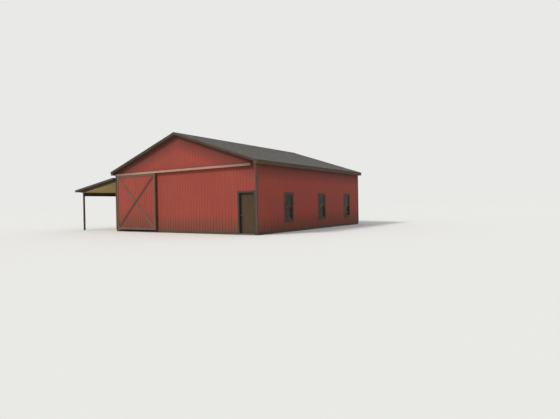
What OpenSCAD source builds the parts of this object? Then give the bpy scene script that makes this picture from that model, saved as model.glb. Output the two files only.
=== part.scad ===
// A post-frame barn with a gable roof, a sliding barn door, a hinged man door and an open lean-to.
// The origin is on the ground in the middle of the barn's floor. X runs across the gable front,
// Y runs back from the front along the ridge, and Z is up.

/* [Barn body] */
// Width of the barn across its gable front, over the siding
barn_w = 10970; // [10400:10:12200]
// Length of the barn along its ridge, over the siding
barn_l = 12190; // [11700:10:14600]
// Height of the underside of the truss ties, which rest on the posts
tie_h = 3385; // [3000:5:3800]
// Height of the roof surface above the ties' underside, in the plane of the side walls
heel_h = 381; // [370:1:400]
// Rise of the roof for each 12 units of run
roof_rise = 4; // [3.5:0.25:5]
// Overhang of the roof past the gable walls
rake_overhang = 220; // [190:10:400]
// Overhang of the roof past the side walls
eave_overhang = 190; // [170:10:260]
// Thickness of the floor slab above the ground
floor_t = 40; // [30:5:100]

/* [Siding and trim] */
// Thickness of the grooved siding sheets
siding_t = 16; // [12:1:20]
// Height of the siding's bottom edge above the ground
siding_bottom = 133; // [60:1:160]
// Gap between the ground and the base boards, which close the walls below the siding
base_board_gap = 10; // [5:1:40]
// Height of the joint between the wall and the gable siding above the door track's underside
gable_joint_lap = 30; // [5:1:50]
// Thickness of the trim boards
trim_t = 19; // [15:1:25]
// Width of the corner trim boards
corner_trim_w = 89; // [60:1:130]
// Width of the casing boards round the windows
casing_w = 89; // [70:1:110]

/* [Framing] */
// Width of the square wall posts
post_w = 140; // [120:5:150]
// Thickness of framing lumber
lumber_t = 38; // [34:1:45]
// Height of a girt board
girt_h = 140; // [100:5:160]
// Bays between posts along each side wall
side_bays = 5; // [4:1:6]
// Depth of the truss ties and truss rafters
chord_h = 140; // [130:1:150]
// Depth of the truss webs
web_h = 89; // [80:1:100]
// Thickness of the plywood gusset plates
gusset_t = 12; // [9:1:19]

/* [Roof] */
// Thickness of the shingle layer
shingle_t = 10; // [8:1:14]
// Thickness of the roof deck
deck_t = 15; // [12:1:19]
// Depth of the purlins, which stand on edge
purlin_h = 89; // [80:1:95]
// Spacing of the purlins along the slope
purlin_pitch = 610; // [400:10:800]
// Depth of the rake fascia boards
rake_fascia_h = 100; // [90:1:160]
// Depth of the eave fascia boards
eave_fascia_h = 184; // [170:1:200]
// Thickness of the boards under the eaves and the rakes
soffit_t = 10; // [8:1:15]
// Height of the strips along the tops of the rake fascias
moulding_h = 45; // [30:1:60]
// Thickness of the strips along the tops of the rake fascias
moulding_t = 19; // [12:1:19]
// How far the roofing runs past the fascia boards
roof_drip = 22; // [10:1:40]
// Width of each wing of the ridge cap
ridge_cap_w = 150; // [100:5:200]

/* [Barn door] */
// Width of the sliding door
barn_door_w = 3515; // [3000:5:3600]
// Gap between the ground and the sliding door's bottom edge
barn_door_gap = 135; // [65:5:160]
// How far the sliding door's left edge lies from the barn's corner
barn_door_inset = 270; // [245:5:500]
// Gap between the siding and the back of the sliding door
barn_door_standoff = 70; // [65:1:80]
// How far the sliding door laps the siding at each side of its doorway
barn_door_lap = 55; // [30:5:80]
// Gap between the sliding door's top edge and the track's underside
barn_door_hang = 30; // [25:1:32]
// Width of the boards that trim and brace the sliding door
door_board_w = 140; // [100:2:200]
// Travel of the sliding door
barn_door_travel = 3480; // [3300:10:3500]
// Distance of each trolley from the sliding door's edge
trolley_inset = 500; // [300:10:900]

/* [Track] */
// Outer width of the box track
track_w = 48; // [46:1:50]
// Outer height of the box track
track_h = 56; // [54:1:60]
// Wall of the box track
track_wall = 3; // [2:0.5:3]
// Height of the track's underside above the underside of the truss ties
track_rise = 87; // [80:1:95]
// Width of the slot along the track's underside
track_slot = 16; // [15:1:18]
// Clearance between the track brackets and the cap over them
cap_clearance = 2; // [1:0.5:10]
// Thickness of the metal cap over the cover board
cap_t = 3; // [2:0.5:5]
// How far the cover board hangs below the sliding door's top edge
cover_lap = 14; // [8:1:25]
// How far the ends of the cover board lie from the barn's corners
cover_end_inset = 240; // [100:5:245]
// Clearance between the sliding door's face and the cover board
cover_clearance = 7; // [5:1:12]

/* [Man door] */
// Width of the man door's leaf
man_door_w = 914; // [860:2:920]
// Height of the man door's leaf
man_door_h = 2032; // [1900:2:2080]
// Thickness of the man door's leaf
man_door_t = 44; // [38:1:48]
// Thickness of the man door's frame
door_jamb_t = 20; // [18:1:25]
// Running gap around the man door's leaf
man_door_gap = 5; // [5:0.5:8]
// Height of the threshold above the floor
threshold_h = 20; // [15:1:25]
// Depth of the man door's leaf behind the siding's face
man_door_recess = 108; // [60:1:108]
// Width of the casing boards beside and over the man door
door_casing_w = 100; // [70:1:130]

/* [Windows] */
// Width of a window opening
window_w = 762; // [600:2:770]
// Height of a window opening
window_h = 1415; // [1100:5:1500]
// Height of the window sills above the ground
window_sill_h = 650; // [600:5:760]
// Distances of the window centres from the front corner of the right wall
window_places = [2920, 6700, 10300];
// Thickness of the window frame
window_frame_t = 22; // [18:1:28]
// Depth of the window frame from the siding's face
window_frame_d = 112; // [100:1:130]
// Width of the sash rails and stiles
sash_w = 45; // [38:1:55]
// Width of the lower sash's bottom rail
sash_bottom_w = 90; // [45:1:100]
// Thickness of a sash
sash_t = 34; // [30:1:38]
// Thickness of the window glass
glass_t = 4; // [3:1:6]

/* [Lean-to] */
// Distance from the barn's left wall to the middle of the lean-to posts
lean_w = 3530; // [3000:10:3800]
// How far the lean-to's roof surface at the wall lies below the underside of the truss ties
lean_drop = 43; // [35:1:200]
// Fall of the lean-to roof for each 12 units of run
lean_rise = 1.9; // [1.5:0.1:2.2]
// Width of the square lean-to posts
lean_post_w = 89; // [80:1:140]
// Depth of the lean-to rafters
lean_rafter_h = 235; // [184:1:240]
// Depth of the lean-to's fascia boards
lean_fascia_h = 100; // [90:1:160]
// Spacing of the lean-to rafters
lean_rafter_pitch = 610; // [450:10:1220]
// Depth of the lean-to's eave beam
lean_beam_h = 235; // [160:1:260]
// Width of the lean-to's eave beam
lean_beam_w = 76; // [70:1:120]
// Bays between the lean-to posts
lean_bays = 4; // [3:1:5]
// Overhang of the lean-to roof past the middle of its posts
lean_overhang = 600; // [300:10:700]
// Thickness of the lean-to's ceiling
ceiling_t = 12; // [9:1:15]

/* [Hidden] */
$fn = 32;

// Colours as the photograph shows them
red_paint = [0.62, 0.28, 0.25];
trim_paint = [0.47, 0.41, 0.35];
band_paint = [0.62, 0.53, 0.47];
raw_lumber = [0.62, 0.50, 0.36];
ply_colour = [0.55, 0.48, 0.30];
shingle_colour = [0.25, 0.25, 0.25];
door_paint = [0.30, 0.28, 0.22];
dark_lumber = [0.20, 0.16, 0.12];
steel_colour = [0.55, 0.56, 0.57];

// Half sizes and main planes
half_w = barn_w / 2;
half_l = barn_l / 2;
wall_in_x = half_w - siding_t;
wall_in_y = half_l - siding_t;
post_in_x = wall_in_x - post_w;
slack = 1;
// The gap at a joint between two boards of one node, and between layers that rest on a slope
seam = 0.3;
seat = 0.1;

// The main roof, where a drop is measured square to the slope from the top of the shingles
slope = roof_rise / 12;
roof_a = atan(slope);
eave_h = tie_h + heel_h;
function roof_z(x, drop = 0) = eave_h - drop / cos(roof_a) + (half_w - abs(x)) * slope;
deck_drop = shingle_t + seat;
purlin_drop = deck_drop + deck_t + seat;
rafter_drop = purlin_drop + purlin_h + seat;
rafter_under = rafter_drop + chord_h;
eave_x = half_w + eave_overhang;
tail_x = eave_x - lumber_t;
rake_y = half_l + rake_overhang;
eave_fascia_z = roof_z(eave_x, purlin_drop) - eave_fascia_h;
soffit_top = eave_fascia_z + soffit_t;
tie_top = tie_h + chord_h;
tie_end_gap = 4;
tie_end_x = wall_in_x - tie_end_gap;

// Posts along the side walls, where the trusses stand
bay_l = barn_l / side_bays;
side_end_y = wall_in_y - post_w / 2;
side_ys = [for (i = [0 : side_bays])
    i == 0 ? -side_end_y : i == side_bays ? side_end_y : -half_l + i * bay_l];
truss_ys = [for (i = [0 : side_bays])
    i == 0 ? -wall_in_y + lumber_t / 2 : i == side_bays ? wall_in_y - lumber_t / 2 : side_ys[i]];

// Openings in the front wall
plate_z = tie_h - girt_h;
barn_doorway_h = plate_z;
barn_door_x0 = -half_w + barn_door_inset;
barn_door_x1 = barn_door_x0 + barn_door_w;
barn_doorway_x0 = barn_door_x0 + barn_door_lap;
barn_doorway_x1 = barn_door_x1 - barn_door_lap;
man_leaf_x1 = post_in_x - door_jamb_t - man_door_gap;
man_leaf_x0 = man_leaf_x1 - man_door_w;
man_doorway_x0 = man_leaf_x0 - man_door_gap - door_jamb_t;
man_doorway_x1 = post_in_x;
man_leaf_z0 = floor_t + threshold_h + man_door_gap;
man_leaf_z1 = man_leaf_z0 + man_door_h;
man_doorway_top = man_leaf_z1 + man_door_gap + door_jamb_t;
front_post_xs = [
    -wall_in_x + post_w / 2,
    barn_doorway_x0 - post_w / 2,
    barn_doorway_x1 + post_w / 2,
    (barn_doorway_x1 + man_doorway_x0) / 2,
    man_doorway_x0 - post_w / 2,
    wall_in_x - post_w / 2
];
rear_post_xs = [for (i = [0 : 4]) -wall_in_x + post_w / 2 + i * (2 * wall_in_x - post_w) / 4];

// Heights of the girts' undersides. The first is the wide board on the slab.
skirt_h = 235;
window_head_h = window_sill_h + window_h;
girt_zs = [window_sill_h - girt_h, (window_sill_h + window_head_h - girt_h) / 2, window_head_h,
    (window_head_h + tie_h) / 2];

// A window stands at its place, or as near to it as the posts of its bay allow
window_post_gap = 5;
window_reach = (post_w + window_w) / 2 + window_post_gap;
function in_bay(y, k) = max(side_ys[k] + window_reach, min(side_ys[k + 1] - window_reach, y));
window_ys = [for (p = window_places) in_bay(-half_l + p, floor(p / bay_l))];

// The sliding door's layers, counted outwards from the siding
door_frame_t = lumber_t;
door_back_y = -half_l - barn_door_standoff;
door_frame_y = door_back_y - door_frame_t;
door_skin_y = door_frame_y - siding_t;
door_face_y = door_skin_y - trim_t;
cover_back_y = door_face_y - cover_clearance;
cover_front_y = cover_back_y - trim_t;

// The track, the door hung below it and the cover board before it
track_bracket_w = 50;
track_bracket_t = 6;
track_bracket_n = 9;
track_end_gap = 25;
track_z = tie_h + track_rise;
barn_door_top = track_z - barn_door_hang;
cover_z = barn_door_top - cover_lap;
cap_z = track_z + track_h + track_bracket_t + cap_clearance;
cover_top = cap_z + cap_t;
gable_joint_h = track_z + gable_joint_lap;
track_y = door_back_y - door_frame_t / 2;
track_x0 = barn_door_x0 - track_end_gap;
track_x1 = barn_door_x1 + barn_door_travel + track_end_gap;

// The lean-to roof, with drops measured as on the main roof
lean_slope = lean_rise / 12;
lean_a = atan(lean_slope);
lean_h = tie_h - lean_drop;
function lean_z(x, drop = 0) = lean_h - drop / cos(lean_a) + (x + half_w) * lean_slope;
lean_rafter_drop = deck_drop + deck_t + seat;
lean_rafter_under = lean_rafter_drop + lean_rafter_h;
lean_ceiling_drop = lean_rafter_under + seat;
lean_ceiling_under = lean_ceiling_drop + ceiling_t;
lean_post_x = -half_w - lean_w;
lean_eave_x = lean_post_x - lean_overhang;
lean_wall_x = -half_w - slack / 2;
lean_pitch = (barn_l - lean_post_w) / lean_bays;
lean_ys = [for (i = [0 : lean_bays]) -half_l + lean_post_w / 2 + i * lean_pitch];
lean_rafter_n = ceil((barn_l - lumber_t) / lean_rafter_pitch);
lean_rafter_ys = [for (i = [0 : lean_rafter_n])
    -half_l + lumber_t / 2 + i * (barn_l - lumber_t) / lean_rafter_n];

// A shape drawn in the XZ plane, made solid from y0 to y1
module along_y(y0, y1) {
    translate([0, y1, 0]) rotate([90, 0, 0]) linear_extrude(y1 - y0) children();
}

// A shape drawn in the YZ plane, made solid from x0 to x1
module along_x(x0, x1) {
    translate([x0, 0, 0]) rotate([90, 0, 90]) linear_extrude(x1 - x0) children();
}

// A block between two corners
module block(low, high) {
    translate(low) cube(high - low);
}

// A flat rectangle between two corners
module face(low, high) {
    translate(low) square(high - low);
}

// The four boards of a frame round a hole: full uprights, with a bottom and a top rail between them
module frame_boards(low, high, board_w, bottom_w) {
    face(low, [low[0] + board_w, high[1]]);
    face([high[0] - board_w, low[1]], high);
    face([low[0] + board_w + seam, low[1]], [high[0] - board_w - seam, low[1] + bottom_w]);
    face([low[0] + board_w + seam, high[1] - board_w], [high[0] - board_w - seam, high[1]]);
}

// A strip of the main roof on one side, from x0 out to x1, between two drops
module roof_strip(side, x0, x1, top, under) {
    polygon([
        [side * x0, roof_z(x0, top)], [side * x1, roof_z(x1, top)],
        [side * x1, roof_z(x1, under)], [side * x0, roof_z(x0, under)]
    ]);
}

// A strip of the lean-to roof from x0 to x1, between two drops
module lean_strip(x0, x1, top, under) {
    polygon([
        [x0, lean_z(x0, top)], [x1, lean_z(x1, top)],
        [x1, lean_z(x1, under)], [x0, lean_z(x0, under)]
    ]);
}

// Floor

module floor_slab() color("gray")
    block([-wall_in_x, -wall_in_y, 0], [wall_in_x, wall_in_y, floor_t]);

// Walls

// A sheet of front siding between two X values and two heights
module front_sheet(x0, x1, z0, z1) color(red_paint)
    block([x0, -half_l, z0], [x1, -wall_in_y, z1]);

module front_wall_left() front_sheet(-half_w, barn_doorway_x0, siding_bottom, gable_joint_h);

module front_wall_middle() front_sheet(barn_doorway_x1, man_doorway_x0, siding_bottom, gable_joint_h);

module front_wall_right() front_sheet(man_doorway_x1, half_w, siding_bottom, gable_joint_h);

module front_wall_over_barn_door()
    front_sheet(barn_doorway_x0, barn_doorway_x1, barn_doorway_h, gable_joint_h);

module front_wall_over_man_door()
    front_sheet(man_doorway_x0, man_doorway_x1, man_doorway_top, gable_joint_h);

// The outline of a gable end above height z0, up to the underside of the purlins
module gable_outline(z0) {
    polygon([
        [-half_w, z0], [half_w, z0], [half_w, roof_z(half_w, rafter_drop)],
        [0, roof_z(0, rafter_drop)], [-half_w, roof_z(half_w, rafter_drop)]
    ]);
}

module front_gable_wall() color(red_paint)
    along_y(-half_l, -wall_in_y) gable_outline(gable_joint_h);

module rear_wall() color(red_paint)
    along_y(wall_in_y, half_l) gable_outline(siding_bottom);

side_wall_top = roof_z(half_w, rafter_under) - slack;

// The right wall's sheets: full height beside the windows, short ones under and over them
module right_wall() color(red_paint) {
    edges = concat([-wall_in_y + slack], [for (y = window_ys) each [y - window_w / 2, y + window_w / 2]],
        [wall_in_y - slack]);
    for (i = [0 : 2 : len(edges) - 1])
        block([wall_in_x, edges[i], siding_bottom], [half_w, edges[i + 1], side_wall_top]);
    for (y = window_ys) {
        y0 = y - window_w / 2 + slack;
        y1 = y + window_w / 2 - slack;
        block([wall_in_x, y0, siding_bottom], [half_w, y1, window_sill_h]);
        block([wall_in_x, y0, window_head_h], [half_w, y1, side_wall_top]);
    }
}

module left_wall() color(red_paint)
    block([-half_w, -wall_in_y + slack, siding_bottom], [-wall_in_x, wall_in_y - slack, side_wall_top]);

// Boards round the foot of the walls, in line with the siding above them
module base_boards() color(dark_lumber) {
    z0 = base_board_gap;
    z1 = siding_bottom - seam;
    front_runs = [
        [-half_w, barn_doorway_x0], [barn_doorway_x1, man_doorway_x0], [man_doorway_x1, half_w]
    ];
    for (run = front_runs) block([run[0], -half_l, z0], [run[1], -wall_in_y, z1]);
    block([-half_w, wall_in_y, z0], [half_w, half_l, z1]);
    for (x = [-half_w, wall_in_x])
        block([x, -wall_in_y + slack, z0], [x + siding_t, wall_in_y - slack, z1]);
}

// Framing

// A square post on the slab with its middle at x, y
module post(x, y, top) {
    block([x - post_w / 2, y - post_w / 2, floor_t], [x + post_w / 2, y + post_w / 2, top]);
}

module wall_posts() color(raw_lumber) {
    side_x = wall_in_x - post_w / 2;
    end_y = wall_in_y - post_w / 2;
    for (side = [-1, 1], i = [1 : side_bays - 1]) post(side * side_x, side_ys[i], tie_h);
    for (x = front_post_xs) post(x, -end_y, tie_h);
    for (x = rear_post_xs) post(x, end_y, tie_h);
}

// The boards between the posts of an end wall. A bay with a doorway has none below its skip height,
// and posts that stand closer than a girt's height have none between them.
module girts_between(xs, y0, y1, skips) {
    for (i = [0 : len(xs) - 2]) {
        x0 = xs[i] + post_w / 2;
        x1 = xs[i + 1] - post_w / 2;
        open_top = skips[i];
        zs = concat([for (z = girt_zs) if (z > open_top) z], [plate_z]);
        if (x1 - x0 > girt_h) {
            if (open_top == 0) block([x0, y0, floor_t], [x1, y1, floor_t + skirt_h]);
            for (z = zs) block([x0, y0, z], [x1, y1, z + girt_h]);
        }
    }
}

module end_wall_girts() color(raw_lumber) {
    front_skips = [0, barn_doorway_h, 0, 0, man_doorway_top];
    girts_between(front_post_xs, -wall_in_y, -wall_in_y + lumber_t, front_skips);
    girts_between(rear_post_xs, wall_in_y - lumber_t, wall_in_y, [0, 0, 0, 0]);
}

// The windows in the bay between y0 and y1
function windows_in(y0, y1) = [for (y = window_ys) if (y > y0 && y < y1) y];

// The girt between a window's sill and its head stops on both sides of the window
module side_wall_girts() color(raw_lumber) {
    for (side = [-1, 1], i = [0 : side_bays - 1]) {
        y0 = side_ys[i] + post_w / 2;
        y1 = side_ys[i + 1] - post_w / 2;
        x0 = side > 0 ? wall_in_x - lumber_t : -wall_in_x;
        x1 = x0 + lumber_t;
        block([x0, y0, floor_t], [x1, y1, floor_t + skirt_h]);
        for (k = [0 : len(girt_zs) - 1]) {
            z = girt_zs[k];
            gaps = k == 1 && side > 0 ? windows_in(y0, y1) : [];
            stops = concat([y0], [for (y = gaps) each [y - window_w / 2, y + window_w / 2]], [y1]);
            for (j = [0 : 2 : len(stops) - 1]) {
                long_enough = stops[j + 1] - stops[j] > girt_h;
                if (long_enough) block([x0, stops[j], z], [x1, stops[j + 1], z + girt_h]);
            }
        }
        block([x0, y0, plate_z], [x1, y1, tie_h]);
    }
}

// Roof trusses

// The height of the truss rafters' underside, and where a line from [x, z] along [dx, dz] meets it
under_0 = roof_z(0, rafter_under);
function meets_rafter(x, z, dx, dz) =
    let (t = (under_0 - slope * x - z) / (dz + slope * dx)) [x + t * dx, z + t * dz];

tie_cut_x = half_w - (tie_top - roof_z(half_w, rafter_under)) / slope;

module truss_ties() color(raw_lumber)
    for (y = truss_ys) along_y(y - lumber_t / 2, y + lumber_t / 2) polygon([
        [-tie_end_x, tie_h], [tie_end_x, tie_h], [tie_end_x, roof_z(tie_end_x, rafter_under)],
        [tie_cut_x, tie_top], [-tie_cut_x, tie_top], [-tie_end_x, roof_z(tie_end_x, rafter_under)]
    ]);

// Each rafter runs past the wall. Its tail has a level cut that the soffit is nailed to.
module truss_rafters() color(raw_lumber) {
    tail_z = soffit_top + seat;
    tail_end = tail_x - seam;
    level_x = half_w + (roof_z(half_w, rafter_under) - tail_z) / slope;
    for (y = truss_ys, side = [-1, 1]) along_y(y - lumber_t / 2, y + lumber_t / 2) polygon([
        [side * slack / 2, roof_z(slack / 2, rafter_drop)],
        [side * tail_end, roof_z(tail_end, rafter_drop)],
        [side * tail_end, tail_z], [side * level_x, tail_z],
        [side * slack / 2, roof_z(slack / 2, rafter_under)]
    ]);
}

// Where the webs meet the tie and the truss rafters, on the right side
web_foot_x = half_w / 3;
web_foot_gap = 4;
short_web_head_x = half_w / 2;
long_web_head_x = 110;

// A web from its foot on the tie to its head under the truss rafter
module web(side, foot_x, head_x) {
    head_z = under_0 - slope * head_x;
    dx = head_x - foot_x;
    dz = head_z - tie_top;
    half_foot = web_h / 2 * norm([dx, dz]) / dz;
    a = meets_rafter(foot_x - half_foot, tie_top, dx, dz);
    b = meets_rafter(foot_x + half_foot, tie_top, dx, dz);
    polygon([
        [side * (foot_x - half_foot), tie_top], [side * (foot_x + half_foot), tie_top],
        [side * b[0], b[1]], [side * a[0], a[1]]
    ]);
}

web_foot_side = web_h * 0.75 + web_foot_gap / 2;

module truss_webs() color(raw_lumber)
    for (y = truss_ys, side = [-1, 1]) along_y(y - lumber_t / 2, y + lumber_t / 2) {
        web(side, web_foot_x + web_foot_side, short_web_head_x);
        web(side, web_foot_x - web_foot_side, long_web_head_x);
    }

// One face's gusset plates: at the ridge, at the short webs' heads, at the feet and at the heels
gusset_half = 260;
gusset_in = 12;

module gusset_outlines() {
    ridge_top = rafter_drop + gusset_in;
    polygon([
        [-gusset_half, roof_z(gusset_half, rafter_under + web_h)],
        [gusset_half, roof_z(gusset_half, rafter_under + web_h)],
        [gusset_half, roof_z(gusset_half, ridge_top)], [0, roof_z(0, ridge_top)],
        [-gusset_half, roof_z(gusset_half, ridge_top)]
    ]);
    for (side = [-1, 1]) {
        roof_strip(side, short_web_head_x - gusset_half / 2, short_web_head_x + gusset_half / 2,
            ridge_top, rafter_under + 2 * web_h);
        face([side * web_foot_x - gusset_half, tie_h + gusset_in],
            [side * web_foot_x + gusset_half, tie_top + 2 * web_h]);
        x0 = tie_end_x - 2 * gusset_half;
        x1 = tie_end_x - gusset_in;
        polygon([
            [side * x0, tie_h + gusset_in], [side * x1, tie_h + gusset_in],
            [side * x1, roof_z(x1, ridge_top)], [side * x0, roof_z(x0, ridge_top)]
        ]);
    }
}

module truss_gussets() color(ply_colour)
    for (i = [0 : side_bays]) {
        y0 = truss_ys[i] - lumber_t / 2;
        y1 = truss_ys[i] + lumber_t / 2;
        if (i > 0) along_y(y0 - gusset_t, y0) gusset_outlines();
        if (i < side_bays) along_y(y1, y1 + gusset_t) gusset_outlines();
    }

// Roof

// Purlins at even steps, no further apart than the purlin pitch, from the eave fascia to the ridge
purlin_eave_x = tail_x - lumber_t;
purlin_ridge_x = 3 * lumber_t;
purlin_n = ceil((purlin_eave_x - purlin_ridge_x) / cos(roof_a) / purlin_pitch);
purlin_step = (purlin_eave_x - purlin_ridge_x) / purlin_n;
purlin_xs = [for (i = [0 : purlin_n]) purlin_eave_x - i * purlin_step];

module purlins() color(raw_lumber)
    for (side = [-1, 1], x = purlin_xs) along_y(-rake_y + lumber_t, rake_y - lumber_t)
        translate([side * x, roof_z(x, purlin_drop)]) rotate(-side * roof_a)
            face([-lumber_t / 2, -purlin_h], [lumber_t / 2, 0]);

module roof_deck() color(ply_colour)
    for (side = [-1, 1]) along_y(-rake_y, rake_y)
        roof_strip(side, slack, eave_x, deck_drop, deck_drop + deck_t);

module roof_shingles() color(shingle_colour)
    for (side = [-1, 1]) along_y(-rake_y - roof_drip, rake_y + roof_drip)
        roof_strip(side, slack, eave_x + roof_drip, 0, shingle_t);

// The ridge cap lies on the shingles and is half as thick
cap_top = seat + shingle_t / 2;

module ridge_cap() color(shingle_colour)
    along_y(-rake_y - roof_drip, rake_y + roof_drip) polygon([
        for (layer = [[-1, -seat], [0, -seat], [1, -seat], [1, -cap_top], [0, -cap_top], [-1, -cap_top]])
            [layer[0] * ridge_cap_w, roof_z(layer[0] * ridge_cap_w, layer[1])]
    ]);

// The rake fascias hang under the deck and cover the ends of the purlins
module rake_fascias() color(trim_paint)
    for (end = [-1, 1], side = [-1, 1]) {
        y = end > 0 ? rake_y - lumber_t : -rake_y;
        along_y(y, y + lumber_t)
            roof_strip(side, slack / 2, tail_x - seam, purlin_drop, purlin_drop + rake_fascia_h);
    }

// A dark strip along the top of each rake fascia, under the edge of the shingles
module rake_mouldings() color(dark_lumber)
    for (y = [-rake_y - seam - moulding_t, rake_y + seam], side = [-1, 1])
        along_y(y, y + moulding_t)
            roof_strip(side, slack / 2, eave_x, deck_drop, deck_drop + moulding_h);

module eave_fascias() color(trim_paint)
    for (side = [-1, 1]) along_y(-rake_y, rake_y) polygon([
        [side * tail_x, roof_z(tail_x, purlin_drop)], [side * eave_x, roof_z(eave_x, purlin_drop)],
        [side * eave_x, eave_fascia_z], [side * tail_x, eave_fascia_z]
    ]);

// Boards that close the overhangs from below: level ones under the eaves, and sloping ones along the
// gables, under the ends of the purlins
module soffits() color(trim_paint)
    for (side = [-1, 1]) {
        x0 = half_w + seam;
        x1 = tail_x - seam;
        end_y = rake_y - lumber_t - seam;
        along_y(-end_y, end_y)
            face([side > 0 ? x0 : -x1, eave_fascia_z], [side > 0 ? x1 : -x0, soffit_top]);
        for (y = [-end_y, half_l + seam]) along_y(y, y + end_y - half_l - seam)
            roof_strip(side, slack / 2, x1, rafter_drop, rafter_drop + soffit_t);
    }

// Trim on the corners

// Each corner has a board on the end wall, whose edge a board on the side wall covers.
// On the left side the lean-to's ceiling stops the side board.
module corner_trim() color(trim_paint)
    for (sx = [-1, 1], sy = [-1, 1]) {
        side_top = sx > 0 ? eave_fascia_z : lean_z(-half_w - trim_t, lean_ceiling_under);
        mirror([sx < 0 ? 1 : 0, 0]) mirror([0, sy < 0 ? 1 : 0]) {
            block([half_w - corner_trim_w + trim_t, half_l, siding_bottom],
                [half_w, half_l + trim_t, eave_fascia_z - slack]);
            block([half_w, half_l - corner_trim_w + trim_t, siding_bottom],
                [half_w + trim_t, half_l + trim_t, side_top - slack]);
        }
    }

// Track of the sliding door

// The board across the front that covers the track, and the metal cap from its top to the wall
module track_cover_board() color(band_paint)
    along_x(-half_w + cover_end_inset, half_w - cover_end_inset) {
        face([cover_front_y, cover_z], [cover_back_y, cap_z - seam]);
        face([cover_front_y, cap_z], [-half_l, cover_top]);
    }

// A box rail of flat plates: the top, the two sides and the lips beside the slot
module door_track() color(steel_colour)
    along_x(track_x0, track_x1) translate([track_y, track_z]) {
        top_z = track_h - track_wall;
        side_y = track_w / 2 - track_wall;
        face([-track_w / 2, top_z], [track_w / 2, track_h]);
        for (s = [0, 1]) mirror([s, 0]) {
            face([side_y, 0], [track_w / 2, top_z - seam]);
            face([track_slot / 2, 0], [side_y - seam, track_wall]);
        }
    }

// Angles that hold the track off the wall: a leg on the siding and one over the track's top
module track_brackets() color(steel_colour)
    for (i = [0 : track_bracket_n - 1]) {
        first_x = track_x0 + 2 * track_bracket_w;
        last_x = track_x1 - 2 * track_bracket_w;
        x = first_x + i * (last_x - first_x) / (track_bracket_n - 1);
        z = track_z + track_h;
        along_x(x - track_bracket_w / 2, x + track_bracket_w / 2) {
            face([track_y - track_w / 2, z], [-half_l, z + track_bracket_t]);
            face([-half_l - track_bracket_t, track_z], [-half_l, z - seam]);
        }
    }

// Sliding door

// The grooved skin of the sliding door
module barn_door_panel() color(red_paint)
    block([barn_door_x0, door_skin_y, barn_door_gap], [barn_door_x1, door_frame_y, barn_door_top]);

// The frame of lumber behind the skin: side stiles full height, three rails between them,
// and two inner stiles between the rails
module barn_door_frame() color(raw_lumber) {
    x0 = barn_door_x0 + girt_h;
    x1 = barn_door_x1 - girt_h;
    rail_zs = [barn_door_gap, (barn_door_gap + barn_door_top - girt_h) / 2, barn_door_top - girt_h];
    for (x = [barn_door_x0, x1])
        block([x, door_frame_y, barn_door_gap], [x + girt_h, door_back_y, barn_door_top]);
    for (z = rail_zs)
        block([x0 + slack, door_frame_y, z], [x1 - slack, door_back_y, z + girt_h]);
    for (i = [0, 1], k = [1, 2]) {
        x = x0 + k * (x1 - x0 - girt_h) / 3;
        z0 = rail_zs[i] + girt_h + slack;
        block([x, door_frame_y, z0], [x + girt_h, door_back_y, rail_zs[i + 1] - slack]);
    }
}

// The boards round the edge of the door's face: full stiles, with the rails between them
module barn_door_trim() color(trim_paint) {
    x0 = barn_door_x0 + door_board_w;
    x1 = barn_door_x1 - door_board_w;
    for (x = [barn_door_x0, x1])
        block([x, door_face_y, barn_door_gap], [x + door_board_w, door_skin_y, barn_door_top]);
    for (z = [barn_door_gap, barn_door_top - door_board_w])
        block([x0 + slack, door_face_y, z], [x1 - slack, door_skin_y, z + door_board_w]);
}

// The panel inside the trim, and half the width of a brace board measured along its sides
brace_x0 = barn_door_x0 + door_board_w + slack;
brace_x1 = barn_door_x1 - door_board_w - slack;
brace_z0 = barn_door_gap + door_board_w + slack;
brace_z1 = barn_door_top - door_board_w - slack;
brace_w = brace_x1 - brace_x0;
brace_h = brace_z1 - brace_z0;

// A board from corner to corner of the panel
module brace_board(board_w) {
    along_side = board_w / 2 * norm([brace_w, brace_h]);
    bx = along_side / brace_h;
    bz = along_side / brace_w;
    polygon([
        [brace_x0, brace_z0], [brace_x0 + bx, brace_z0], [brace_x1, brace_z1 - bz],
        [brace_x1, brace_z1], [brace_x1 - bx, brace_z1], [brace_x0, brace_z0 + bz]
    ]);
}

// The X of boards inside the trim: one runs through and the other stops against it
module barn_door_brace() color(trim_paint) {
    along_y(door_face_y, door_skin_y) brace_board(door_board_w);
    along_y(door_face_y, door_skin_y) difference() {
        translate([brace_x0 + brace_x1, 0]) mirror([1, 0]) brace_board(door_board_w);
        brace_board(door_board_w + 2 * slack);
    }
}

// A trolley: a plate on the door's top edge, a stem through the slot and four wheels on an axle
trolley_wheel_r = 18;
trolley_wheel_t = 9;
trolley_plate_t = 6;
trolley_plate_l = 160;
trolley_stem_r = 5;
trolley_axle_r = 4;
trolley_wheelbase = 56;
trolley_bar_l = 80;
trolley_bar_w = 8;
track_gap = 0.3;
wheel_side_gap = 2;
wheel_out = track_w - 2 * track_wall - 2 * wheel_side_gap;

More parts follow.
